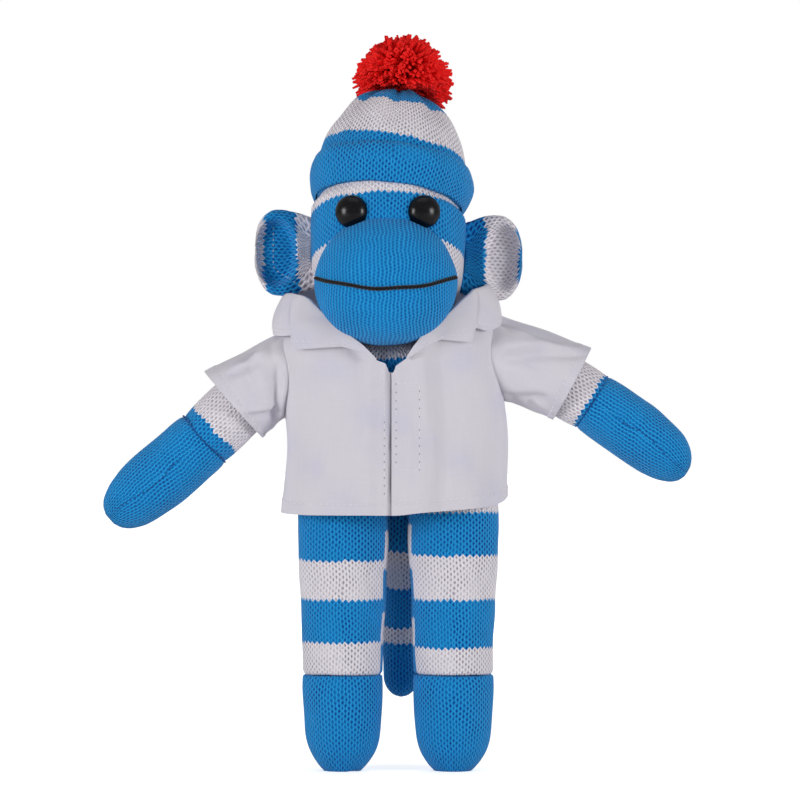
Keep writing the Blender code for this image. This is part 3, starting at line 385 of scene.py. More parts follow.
def shell(name, outer, inner, uv, wrap=False, skip=(), rows=None):
    """Cloth between an outer and an inner grid of points, closed all round its edges.

    skip holds (row, column) of faces that are left out, and rows a first and a last row, whose
    part of the grid alone is made, shaded as if the rest were there.
    """
    count, columns = outer.shape[:2]
    size = count * columns
    points = np.concatenate((outer.reshape(-1, 3), inner.reshape(-1, 3)))
    first, last = rows or (0, count - 1)
    sides = columns if wrap else columns - 1
    faces, uvs, edges, own = [], [], {}, []
    for r in range(count - 1):
        for c in range(sides):
            if (r, c) in skip:
                continue
            d = (c + 1) % columns
            quad = (r * columns + c, r * columns + d, (r + 1) * columns + d, (r + 1) * columns + c)
            spread = [uv[r, c], uv[r, c + 1], uv[r + 1, c + 1], uv[r + 1, c]]
            mine = first <= r < last
            faces += [quad, tuple(size + i for i in reversed(quad))]
            own += [mine, mine]
            uvs += spread + spread[::-1]
            if mine:
                for i in range(4):
                    a, b = quad[i], quad[(i + 1) % 4]
                    if (b, a) in edges:
                        del edges[b, a]
                    else:
                        edges[a, b] = spread[i], spread[(i + 1) % 4]
    whole = bpy.data.meshes.new(name)
    whole.from_pydata([tuple(point) for point in points], [], faces)
    normals = np.array([vert.normal[:] for vert in whole.vertices])
    bpy.data.meshes.remove(whole)
    faces, uvs = zip(*[(face, uvs[4 * i:4 * i + 4]) for i, face in enumerate(faces) if own[i]])
    faces, uvs = list(faces), [pair for four in uvs for pair in four]
    smooth_count = len(faces)
    for (a, b), (at_a, at_b) in edges.items():
        faces.append((b, a, size + a, size + b))
        uvs += [at_b, at_a, at_a, at_b]
    used = sorted({i for face in faces for i in face})
    place = {old: new for new, old in enumerate(used)}
    faces = [tuple(place[i] for i in face) for face in faces]
    item = new_mesh(name, points[used], faces, uvs)
    directions = []
    for polygon in item.data.polygons:
        for loop in polygon.loop_indices:
            at = used[item.data.loops[loop].vertex_index]
            directions.append(normals[at] if polygon.index < smooth_count else polygon.normal)
    item.data.normals_split_custom_set([tuple(direction) for direction in directions])
    return item


def lengths(points, axis):
    """Running length along one axis of a grid, for its place on the cloth."""
    steps = np.linalg.norm(np.diff(points, axis=axis), axis=2)
    first = np.zeros_like(np.take(steps, [0], axis))
    return np.concatenate((first, np.cumsum(steps, axis)), axis)


def cloth_places(grid, even=None):
    """Where a grid's points lie on their cloth; all rows may take the even row's places across."""
    spread = np.stack([lengths(grid, 1), lengths(grid, 0)], -1)
    if even is not None:
        spread[:, :, 0] = spread[even, :, 0]
    return spread


# Finishes

class Nodes:
    """A node tree, built step by step."""

    def __init__(self, tree):
        self.tree = tree

    def put(self, socket, value):
        if isinstance(value, bpy.types.NodeSocket):
            self.tree.links.new(value, socket)
        else:
            socket.default_value = value

    def add(self, kind, values=None, **settings):
        node = self.tree.nodes.new("ShaderNode" + kind)
        for key, value in settings.items():
            setattr(node, key, value)
        for key, value in (values or {}).items():
            self.put(node.inputs[key], value)
        return node

    def math(self, operation, *values):
        node = self.add("Math", operation=operation)
        for socket, value in zip(node.inputs, values):
            self.put(socket, value)
        return node.outputs[0]

    def mapped(self, value, low, high, new_low=0.0, new_high=1.0, soft=True):
        """A value moved from one range to another, and kept there."""
        node = self.add("MapRange", {"Value": value, "From Min": low, "From Max": high,
                                     "To Min": new_low, "To Max": new_high})
        node.interpolation_type = "SMOOTHSTEP" if soft else "LINEAR"
        return node.outputs["Result"]

    def mix(self, share, first, second):
        """A colour between two."""
        node = self.add("Mix", data_type="RGBA")
        self.put(node.inputs["Factor"], share)
        for socket, value in ((node.inputs[6], first), (node.inputs[7], second)):
            self.put(socket, value if isinstance(value, bpy.types.NodeSocket) else (*value, 1))
        return node.outputs[2]

    def cloth_place(self):
        """The place on the cloth: across, along and the pair."""
        uv = self.add("UVMap", uv_map="cloth").outputs["UV"]
        parts = self.add("SeparateXYZ", {"Vector": uv})
        return parts.outputs["X"], parts.outputs["Y"], uv

    def noise(self, vector, scale, detail=2.0, stretch=None):
        if stretch:
            vector = self.add("Mapping", {"Vector": vector, "Scale": stretch}).outputs["Vector"]
        return self.add("TexNoise", {"Vector": vector, "Scale": scale, "Detail": detail}).outputs["Fac"]

    def bump(self, height, distance, strength=1.0, under=None):
        node = self.add("Bump", {"Height": height, "Distance": distance, "Strength": strength})
        if under is not None:
            self.put(node.inputs["Normal"], under)
        return node.outputs["Normal"]

    def times(self, first, second):
        return self.math("MULTIPLY", first, second)

    def plus(self, first, second):
        return self.math("ADD", first, second)

    def minus(self, first, second):
        return self.math("SUBTRACT", first, second)

    def mean(self, first, second):
        return self.plus(self.times(first, 0.5), self.times(second, 0.5))

    def spot(self):
        """The place on the piece itself."""
        return self.add("TexCoord").outputs["Object"]

    def stirred(self, vector, scale, detail, amount):
        """Noise to both sides of nought."""
        return self.times(self.minus(self.noise(vector, scale, detail), 0.5), amount)


class Finish(Nodes):
    """A material with one shader."""

    def __init__(self, name, roughness, specular=0.3):
        self.material = bpy.data.materials.new(name)
        self.material.use_nodes = True
        super().__init__(self.material.node_tree)
        self.wear({"Roughness": roughness, "Specular IOR Level": specular})

    def wear(self, values):
        """Put values into the shader's sockets, and hand out the material."""
        sockets = self.tree.nodes["Principled BSDF"].inputs
        for key, value in values.items():
            self.put(sockets[key], value)
        return self.material


def knit_finish(name, knit, bands, span, ragged=0.5, openness=1.0, swing=0.095):
    """Plain knit whose yarn sways from side to side round rows of small holes.

    bands lists (where it starts, is blue) from the lowest up, over a span of cloth, and ragged
    says how unevenly the colours change. Where the swing is small, the knit is ribbed.
    """
    look = Finish(name, 0.88, 0.12)
    across, along, uv = look.cloth_place()
    shifted = look.add("VectorMath", {0: uv, 1: (31.7, 12.3, 0.0)}, operation="ADD").outputs[0]
    across = look.plus(across, look.stirred(uv, 0.16, 2.0, 1.1))
    along = look.plus(along, look.stirred(shifted, 0.13, 2.0, 0.8))
    off = look.math("ABSOLUTE", look.minus(look.math("FRACT", across), 0.5))
    wave = look.math("COSINE", look.times(look.minus(along, 0.35), math.tau))
    away = look.math("ABSOLUTE", look.minus(off, look.math("MULTIPLY_ADD", wave, swing, 0.25)))
    relief = look.mapped(away, 0.05, 0.27, 1.0, 0.0)
    tight = look.mapped(look.noise(uv, 0.07), 0.38, 0.62, 0.45 * openness, 1.1 * openness)
    loose = look.mapped(look.noise(shifted, 0.3), 0.25, 0.75, 0.6, 1.5)
    # Painted shade: the holes between the stitches are darkened towards the gap colours
    hole = look.times(look.mapped(away, 0.15, 0.30), look.times(tight, loose))
    # A colour changes with whole stitches
    wobbling = look.plus(along, look.stirred(uv, 0.3, 1.0, ragged))
    course = look.plus(look.math("FLOOR", look.math("MULTIPLY_ADD", off, 1.2, wobbling)), 0.5)
    ramp = look.add("ValToRGB", {"Fac": look.math("DIVIDE", course, span / knit.course)})
    ramp.color_ramp.interpolation = "CONSTANT"
    stops = ramp.color_ramp.elements
    for i, (start, is_blue) in enumerate(bands):
        stop = stops[i] if i < 2 else stops.new(start / span)
        stop.position = start / span
        stop.color = (is_blue, is_blue, is_blue, 1)
    if len(bands) == 1:
        stops.remove(stops[1])
    # yarn is the plain colour, pale the painted highlight and gap the painted shade, each blue or white by
    # band
    yarn, pale, gap = (look.mix(ramp.outputs["Color"], white, blue) for white, blue in (
        (knit.white, knit.blue), (knit.white_painted_highlight, knit.blue_painted_highlight), (knit.white_hole_shade, knit.blue_hole_shade)))
    fibre = look.noise(uv, 4.0, 3.0)
    # Painted highlight: paler along the middle of each strand, where its crest catches the light
    crest = look.times(look.mapped(away, 0.0, 0.15, 0.75, 0.0), look.mapped(fibre, 0.3, 0.7, 0.35, 1.0))
    height = look.math("MULTIPLY_ADD", fibre, 0.25, relief)
    return look.wear({"Base Color": look.mix(hole, look.mix(crest, yarn, pale), gap),
                      "Normal": look.bump(height, knit.relief, 0.8),
                      "Sheen Weight": 0.12, "Sheen Roughness": 0.45})


def cotton_finish(name, coat):
    """Plain-woven cotton with fine threads, slubs and soft creases."""
    look = Finish(name, 0.88, 0.15)
    across, along, uv = look.cloth_place()
    warp = look.math("SINE", look.times(across, math.tau / 0.00042))
    weft = look.math("SINE", look.times(along, math.tau / 0.00046))
    threads = look.mean(look.noise(uv, 900.0, 2.0, (0.12, 1.0, 1.0)),
                        look.noise(uv, 900.0, 2.0, (1.0, 0.1, 1.0)))
    patch = look.mapped(look.noise(uv, 38.0), 0.42, 0.68, 0.0, 0.75)
    light = look.mapped(threads, 0.3, 0.7, 0.0, 0.22)
    tone = look.mix(light, look.mix(patch, coat.cotton, coat.shade),
                    tuple(min(1.0, value * 1.10) for value in coat.cotton))
    under = look.bump(look.noise(uv, 55.0, 3.0, (1.0, 0.55, 1.0)), coat.wrinkles, 0.35)
    fine = look.plus(look.times(look.times(warp, weft), 0.25), threads)
    return look.wear({"Base Color": tone, "Normal": look.bump(fine, 0.00012, 0.7, under),
                      "Sheen Weight": 0.12, "Sheen Roughness": 0.5})


def yarn_finish(name, tone, gap):
    """Soft twisted yarn, with painted shade between its plies laid by noise."""
    look = Finish(name, 0.95, 0.1)
    spot = look.spot()
    ply = look.noise(spot, 900.0, 3.0)
    # Painted shade: the gap colour darkens the yarn where the noise is low, for the shade between its plies
    share = look.mapped(look.mean(ply, look.noise(spot, 100.0)), 0.3, 0.62)
    return look.wear({"Base Color": look.mix(share, gap, tone), "Normal": look.bump(ply, 0.0003, 0.5),
                      "Sheen Weight": 0.3})


def plastic_finish(name, tone, roughness, specular):
    """Moulded plastic with the faintest unevenness."""
    look = Finish(name, roughness, specular)
    spot = look.spot()
    speck = look.noise(spot, 600.0)
    lighter = tuple(value * 1.35 + 0.002 for value in tone)
    return look.wear({"Base Color": look.mix(look.mapped(speck, 0.45, 0.75), tone, lighter),
                      "Roughness": look.mapped(speck, 0.2, 0.8, roughness * 0.8, roughness * 1.3),
                      "Normal": look.bump(look.noise(spot, 120.0, 1.0), 0.0001, 0.15)})


def thread_finish(name, tone):
    """Sewing thread."""
    look = Finish(name, 0.75)
    ply = look.noise(look.spot(), 3000.0, 1.0)
    darker = tuple(value * 0.82 for value in tone)
    return look.wear({"Base Color": look.mix(ply, darker, tone), "Normal": look.bump(ply, 0.0001, 0.5)})


def nylon_finish(name, tone, loops):
    """Hook or loop tape."""
    look = Finish(name, 0.8)
    cells = look.add("TexVoronoi", {"Vector": look.spot(), "Scale": 2600.0 if loops else 1500.0})
    away = cells.outputs["Distance"]
    dark = tuple(value * 0.55 for value in tone)
    return look.wear({"Base Color": look.mix(look.mapped(away, 0.1, 0.7), tone, dark),
                      "Normal": look.bump(away, 0.0003, 0.8)})


# Knit pieces

HEAD_FORM = (
    (0.00, 0.42, 0.44, 0.0), (0.05, 0.62, 0.62, 0.0), (0.12, 0.79, 0.78, 0.0), (0.22, 0.93, 0.91, 0.0),
    (0.33, 0.985, 0.98, 0.0), (0.45, 1.00, 1.00, 0.0), (0.57, 1.00, 0.99, 0.0), (0.68, 0.955, 0.94, 0.01),
    (0.78, 0.87, 0.84, 0.03), (0.87, 0.74, 0.71, 0.05), (0.94, 0.56, 0.54, 0.07), (0.985, 0.31, 0.30, 0.08),
    (1.00, 0.12, 0.12, 0.08),
)
TORSO_FORM = (
    (0.00, 0.90, 0.02, 0.0), (0.08, 0.95, 0.16, 0.0), (0.18, 0.99, 0.38, 0.0), (0.30, 1.00, 0.63, 0.0),
    (0.42, 1.00, 0.86, 0.1), (0.54, 0.985, 0.98, 0.4), (0.66, 0.95, 1.00, 0.8), (0.76, 0.90, 0.96, 1.0),
    (0.84, 0.82, 0.89, 1.0), (0.91, 0.66, 0.78, 0.6), (0.96, 0.50, 0.66, 0.2), (1.00, 0.36, 0.58, 0.0),
)
LEG_FORM = (
    (1.00, 0.82, 0.85), (0.985, 0.865, 0.90), (0.84, 0.885, 0.92), (0.62, 0.93, 0.965), (0.42, 0.97, 1.00),
    (0.30, 0.99, 0.99), (0.225, 0.99, 0.93), (0.165, 0.975, 0.76), (0.11, 0.955, 0.52),
    (0.055, 0.93, 0.25), (0.00, 0.90, 0.03),
)
FOOT_FORM = (
    (0.00, 0.40, 0.52), (0.012, 0.43, 0.55), (0.10, 0.585, 0.67), (0.20, 0.71, 0.785), (0.27, 0.765, 0.83),
    (0.34, 0.80, 0.865), (0.46, 0.83, 0.90), (0.70, 0.86, 0.925), (0.88, 0.87, 0.925), (0.98, 0.865, 0.90),
    (1.00, 0.82, 0.85),
)
ARM_FORM = (
    (0.16, 0.955, 0.955), (0.36, 1.00, 1.00), (0.62, 1.01, 1.01), (0.86, 1.00, 1.00), (0.965, 0.98, 0.98),
    (1.00, 0.95, 0.95),
)
MITTEN_FORM = (
    (0.00, 0.90, 0.91), (0.014, 0.95, 0.95), (0.05, 0.99, 0.98), (0.16, 1.02, 1.00), (0.40, 1.02, 1.00),
    (0.62, 0.97, 0.94), (0.79, 0.86, 0.83), (0.91, 0.66, 0.62), (0.975, 0.42, 0.38), (1.00, 0.20, 0.18),
)
EAR_FORM = (
    (0.00, 0.86, 0.34), (0.10, 0.91, 0.50), (0.26, 0.97, 0.76), (0.44, 1.00, 0.94), (0.62, 0.98, 1.00),
    (0.78, 0.88, 0.92), (0.90, 0.70, 0.72), (0.97, 0.46, 0.46), (1.00, 0.22, 0.20),
)
TAIL_WAY = (
    (0.142, 0.0115), (0.137, 0.0150), (0.130, 0.0172), (0.120, 0.0183), (0.108, 0.0186), (0.096, 0.0187),
    (0.084, 0.0214), (0.069, 0.0258), (0.054, 0.0293), (0.042, 0.0314), (0.034, 0.0322), (0.0286, 0.0325),
)
ARM_DROPS = (40.6, 32.6)
ARM_BOWS = (0.0, 0.0027)
GAP = 0.0003
FOOT_HEIGHT = 0.0398
TORSO_WIDTH, TORSO_DEPTH = 0.080, 0.042
# The cap's degrees to the side and to the back, and how far above the neck its hem lies
HAT_LEANS, HAT_RISE = (5.5, -17.5), 0.0558
EYE_SPACING, EYE_RISE = 0.0303, 0.0527
# The muzzle's middle, from the neck
MUZZLE_PLACE = Vector((-0.001, -0.022, 0.0245))
# How square the head, the muzzle and the cap are from above; 2 would be an oval
HEAD_SQUARENESS = 2.15
GOLDEN_TURN = 2.399963
ALL_BLUE = ((0, 1),)


def look_of(context):
    scene = context.scene
    return scene.doll_sizes, scene.doll_knit, scene.doll_coat


def body_shift(height):
    """How far the body's middle leans sideways at a height."""
    share = smooth((height - HIPS.z) / (NECK.z - HIPS.z))
    return HIPS.x + (NECK.x - HIPS.x) * share


def table_ring(form, share, column):
    return float(curve_at(form, share, column))


def hat_matrix():
    """Where the cap's hem lies on the head."""
    lean_side = Matrix.Rotation(math.radians(HAT_LEANS[0]), 4, "Y")
    lean_back = Matrix.Rotation(math.radians(HAT_LEANS[1]), 4, "X")
    return Matrix.Translation((NECK.x, NECK.y, NECK.z + HAT_RISE)) @ lean_side @ lean_back


CROWN_WIDTH, CROWN_DEPTH, CROWN_HEIGHT, CROWN_SQUARENESS = 0.0616, 0.0606, 0.050, 2.3


def crown_share(level):
    return bulge(max(0.0, level) / CROWN_HEIGHT, CROWN_SQUARENESS)


def knit_skin(name, rings, vs, knit, bands, span, slot, body, nodes, fill=None, lumps=None, wale=1.0,
              offsets=None, loop=False, shape=None, **weave):
    """A striped knit skin over rings.

    shape(skin) changes it before the filling pushes it out by lumps of (amount, size, seed).
    """
    item = tube(name, rings, columns_of(rings, knit.wale * wale), vs, offsets, loop)
    if shape:
        shape(item)
    if lumps:
        swell(item, *lumps)
    material = knit_finish(name.replace("skin", "knit").replace("_", " "), knit, bands, span, **weave)
    return finish(item, material, slot, body, nodes)


class DOLL_OT_head(Operator):
    """The head's knit skin and its filling's lumps"""

    bl_idname = "sock_doll.head"
    bl_label = "Head"

    def execute(self, context):
        sizes, knit, _ = look_of(context)
        base, height = NECK.z + GAP, extent("head").z
        levels = shares_at((0, 0.06, 8), (0.07, 0.93, 78), (0.94, 1, 10))
        matrices = [Matrix.Translation((NECK.x, NECK.y + sizes.head_depth * table_ring(HEAD_FORM, level, 3),
                                        base + level * height)) for level in levels]
        rings = rings_of(matrices, sizes.head_width / 2 * curve_at(HEAD_FORM, levels, 1),
                         sizes.head_depth / 2 * curve_at(HEAD_FORM, levels, 2), HEAD_SQUARENESS, 128)
        to_hat = hat_matrix().inverted()
        for ring in rings:
            for point in ring:
                local = to_hat @ Vector(point)
                if local.z > -0.004:
                    room = (CROWN_WIDTH / 2 - 0.0015) * crown_share(local.z)
                    reach = math.hypot(local.x, local.y * CROWN_WIDTH / CROWN_DEPTH)
                    under = softly((local.z + 0.004) / 0.004)
                    if reach > room:
                        shrink = 1 + (room / reach - 1) * under
                        local.x *= shrink
                        local.y *= shrink
                        local.z = min(local.z, CROWN_HEIGHT - 0.0025)
                        point[:] = to_hat.inverted() @ local

        def tilt(item):
            # The face's courses dip towards the back, so their height is taken on a slope
            relay(item, lambda spot, pair: (pair.x, (spot.z + 0.36 * (spot.y - NECK.y)) / knit.course))

        knit_skin("head_skin", rings, (base + levels * height) / knit.course, knit,
                  ((0, 0), (0.2113, 1), (0.2284, 0), (0.2470, 1)), 0.30, "striped_knit", "head", ["head"],
                  0.9, (sizes.lumpiness, 0.014, 1), shape=tilt)
        return {"FINISHED"}


class DOLL_OT_face(Operator):
    """The stuffed muzzle, the mouth's yarn and the safety eyes"""

    bl_idname = "sock_doll.face"
    bl_label = "Face"

    def execute(self, context):
        sizes, knit, _ = look_of(context)
        center = NECK + MUZZLE_PLACE
        half = Vector((sizes.muzzle_width / 2, sizes.muzzle_depth / 2, sizes.muzzle_height / 2))
        levels, widths, depths = rounded(half.x, half.y, half.z, HEAD_SQUARENESS, 90)
        # The upper half narrows towards the eyes
        narrow = 1 - 0.045 * smooth(levels / half.z / 0.55)
        rings = rings_of([Matrix.Translation(center + Vector((0, 0, level))) for level in levels],
                         widths * narrow, depths, HEAD_SQUARENESS, 128)

        def upright(item):
            # The stitches stand upright side by side, as on a sock's heel
            def place(spot, pair):
                across, along = (
                    math.asin(max(-1, min(1, offset / reach * 0.985))) * reach
                    for offset, reach in ((spot.x - center.x, half.x), (spot.z - center.z, half.z)))
                return across / knit.wale / 1.15 + 40, along / knit.course / 0.66 + 40
            relay(item, place)

        knit_skin("muzzle_skin", rings, rows_of(rings, knit.course), knit, ALL_BLUE, 0.18, "blue_knit",
                  "head", ["muzzle"], 0.9, (sizes.lumpiness * 0.8, 0.013, 2), 0.86, shape=upright,
                  ragged=0.0, openness=0.85, swing=0.05)
        self.add_mouth(center, half, knit)
        for side in range(2):
            self.add_eye(side, sizes)
        return {"FINISHED"}

    def add_mouth(self, center, half, knit):
        """One twisted yarn across the muzzle, lowest in its middle."""
        radius, curl, dip = 0.00092, 0.0052, 0.0037
        shares = np.sin(np.pi * (np.linspace(0, 1, 160) - 0.5)) * 0.955
        path = []
        for share in shares:
            rise = curl * share * share - dip + 0.00025 * math.sin(share * 9.0)
            level = bulge(rise / (half.z + radius), HEAD_SQUARENESS)
            room = bulge(share, HEAD_SQUARENESS)
            path.append(center + Vector(((half.x + radius * 0.5) * level * share,
                                         -(half.y + radius * 0.5) * level * room, rise)))
        item = yarn("mouth_yarn", path, radius, 2, 0.0030)
        finish(item, yarn_finish("mouth yarn", knit.black, (0.002, 0.002, 0.003)), "black_yarn",
               "head", ["mouth_thread"])

    def add_eye(self, side, sizes):
        """A domed eye that sits on the face by its flat back."""
        word, sign = WORDS[side], SIGNS[side]
        radius, dome, edge = sizes.eye_diameter / 2 * 1.03, 0.0056, 0.0006
        across, level = sign * EYE_SPACING / 2 + (0.0003, -0.0007)[side], NECK.z + EYE_RISE
        ahead = face_front(sizes, across, level) + 0.0008
        place = Matrix.Translation((NECK.x + across, ahead, level))
        turn = Matrix.Rotation(math.radians(sign * 14), 4, "Z") @ Matrix.Rotation(math.radians(90), 4, "X")
        angles = np.linspace(0, math.pi / 2 * 0.985, 26)
        heights = np.concatenate(([-0.009, -0.0088, 0.0, 0.0, edge * 0.4],
                                  edge + (dome - edge) * np.sin(angles)))
        radii = np.concatenate(([0.0016, 0.002, 0.002, radius - edge, radius - edge * 0.2],
                                radius * np.cos(angles)))
        rings = rings_of([place @ turn @ Matrix.Translation((0, 0, height)) for height in heights],
                         radii, radii, 2.0, 64)
        item = tube("eye_dome_" + word, rings, np.linspace(0, 1, 65), np.linspace(0, 1, len(heights)))
        material = plastic_finish("eye " + word, (0.001, 0.001, 0.002), 0.21, 0.24)
        finish(item, material, "black_plastic", "head", ["eye_" + word])
        for slot in bpy.data.objects["eye_washer_" + word].material_slots:
            slot.material = plastic_finish("washer " + word, (0.52, 0.52, 0.50), 0.4, 0.5)


def face_front(sizes, across, height):
    """How far forward the face lies beside its middle at a height."""
    share = (height - NECK.z - GAP) / extent("head").z
    half_width = sizes.head_width / 2 * table_ring(HEAD_FORM, share, 1)
    half_depth = sizes.head_depth / 2 * table_ring(HEAD_FORM, share, 2)
    lean = sizes.head_depth * table_ring(HEAD_FORM, share, 3)
    return NECK.y + lean - half_depth * bulge(across / half_width, HEAD_SQUARENESS)


def yarn(name, path, radius, plies, twist):
    """A yarn of twisted plies along a path, as one mesh."""
    path = np.array([tuple(point) for point in path])
    steps, sides = running(path), 8
    ahead = np.gradient(path, axis=0)
    ahead /= np.linalg.norm(ahead, axis=1)[:, None]
    up = np.tile((0.0, 0.0, 1.0), (len(path), 1))
    side = np.cross(ahead, up)
    side /= np.linalg.norm(side, axis=1)[:, None]
    up = np.cross(side, ahead)
    points, faces = [], []
    thick = radius / (1 + 1 / math.sin(math.pi / plies)) * 1.35 if plies > 1 else radius
    for ply in range(plies):
        base = len(points)
        turns = steps / twist * math.tau + math.tau * ply / plies
        offset = radius - thick if plies > 1 else 0
        middle = path + offset * (side * np.cos(turns)[:, None] + up * np.sin(turns)[:, None])
        for spot, across, above in zip(middle, side, up):
            for k in range(sides):
                angle = math.tau * k / sides
                points.append(spot + thick * (across * math.cos(angle) + above * math.sin(angle)))
        faces += rod_faces(base, len(path), sides, clockwise=True)
    return new_mesh(name, points, faces)


class DOLL_OT_ears(Operator):
    """The two stuffed, dished ears"""

    bl_idname = "sock_doll.ears"
    bl_label = "Ears"

    def execute(self, context):
        for side in range(2):
            self.add_ear(side, context)
        return {"FINISHED"}

    def add_ear(self, side, context):
        sizes, knit, _ = look_of(context)
        word, sign = WORDS[side], SIGNS[side]
        place = JOINTS["ear_flap_" + word]
        root, sunk = 0.0019, 0.0011
        reach = 0.0235 - root - GAP
        ways = np.linspace(0, 1, 80)
        turn = Matrix.Translation(place) @ Matrix.Rotation(math.radians(sign * 90), 4, "Y")
        angles = (np.linspace(0, 1, 7)[:-1] - 1) * math.pi / 2 * 0.95
        levels = np.concatenate((root * np.sin(angles) - sunk, ways * reach))
        heights = np.concatenate((sizes.ear_height / 2 * 0.86 + root * np.sin(angles),
                                  sizes.ear_height / 2 * curve_at(EAR_FORM, ways, 1)))
        depths = np.concatenate((root * np.cos(angles),
                                 sizes.ear_thickness / 2 * curve_at(EAR_FORM, ways, 2)))
        rings = rings_of([turn @ Matrix.Translation((0, 0, level)) for level in levels],
                         heights, depths, 2.2, 128)
        # The cup opens to the front inside a soft rim, deeper towards the ear's outer side
        middle, half = reach * (0.58, 0.60)[side], reach * (0.42, 0.36)[side]
        for ring in rings:
            for point in ring:
                away = (sign * (point[0] - place.x) - middle) / half
                above = (point[2] - place.z) / (sizes.ear_height / 2 * 0.84)
                round_out = away * away + abs(above) ** 2.4
                deep = softly((1.05 - round_out) / 0.62)
                if point[1] < place.y:
                    point[1] += deep * ((place.y - point[1]) + 0.0022)
                else:
                    point[1] += deep * 0.0016
                # The root follows the head's side, which narrows below
                under = softly((place.z - 0.003 - point[2]) / 0.012)
                point[0] -= sign * 0.0026 * under * (1 - softly(sign * (point[0] - place.x) / 0.007))
        bands = (((0, 0), (0.0046, 1), (0.0176, 0)), ((0, 1), (0.0072, 0), (0.0202, 1), (0.0224, 0)))[side]
        item = knit_skin("ear_skin_" + word, rings, levels / knit.course, knit, bands, 0.024, "blue_knit",
                         "ear_" + word, ["ear_" + word], 0.7, (0.0005, 0.008, 3 + side), ragged=1.6)
        if side == 0:
            self.add_running_stitch(item, place, sign)

    def add_running_stitch(self, ear, place, sign):
        """The dashes that hold the cup's outer rim."""
        path, outs = [], []
        for share in np.linspace(-1, 1, 50):
            x = place.x + sign * (0.0136 - 0.0102 * softly((-0.35 - share) / 0.75))
            z = place.z - 0.001 + 0.0122 * share
            hit, spot, normal, _ = ear.ray_cast(Vector((x, place.y - 0.05, z)), Vector((0, 1, 0)))
            if hit:
                path.append(spot)
                outs.append(normal)
        dashes = stitches("ear_running_stitch", [(path, outs, 0.0023)], 0.00028, 0.5)
        material = yarn_finish("ear stitch yarn", (0.42, 0.50, 0.64), (0.16, 0.22, 0.36))
        finish(dashes, material, "white_knit", "ear_left", ["ear_left"])


class DOLL_OT_torso(Operator):
    """The stuffed body under the coat"""

    bl_idname = "sock_doll.torso"
    bl_label = "Torso"

    def execute(self, context):
        _, knit, _ = look_of(context)
        base, height = HIPS.z + GAP, NECK.z - HIPS.z - GAP
        levels = np.linspace(0, 1, 60)
        matrices = []
        for level in levels:
            z = base + level * height
            matrix = Matrix.Identity(4)
            matrix[2][0] = 0.07 * table_ring(TORSO_FORM, level, 3)
            matrices.append(Matrix.Translation((body_shift(z), HIPS.y, z)) @ matrix)
        rings = rings_of(matrices, TORSO_WIDTH / 2 * curve_at(TORSO_FORM, levels, 1),
                         TORSO_DEPTH / 2 * curve_at(TORSO_FORM, levels, 2), 2.4, 112)
        knit_skin("torso_skin", rings, (base + levels * height) / knit.course, knit,
                  ((0, 1), (0.1200, 0), (0.1400, 1), (0.1710, 0)), 0.20, "striped_knit",
                  "body", ["torso"], 0.9)
        return {"FINISHED"}


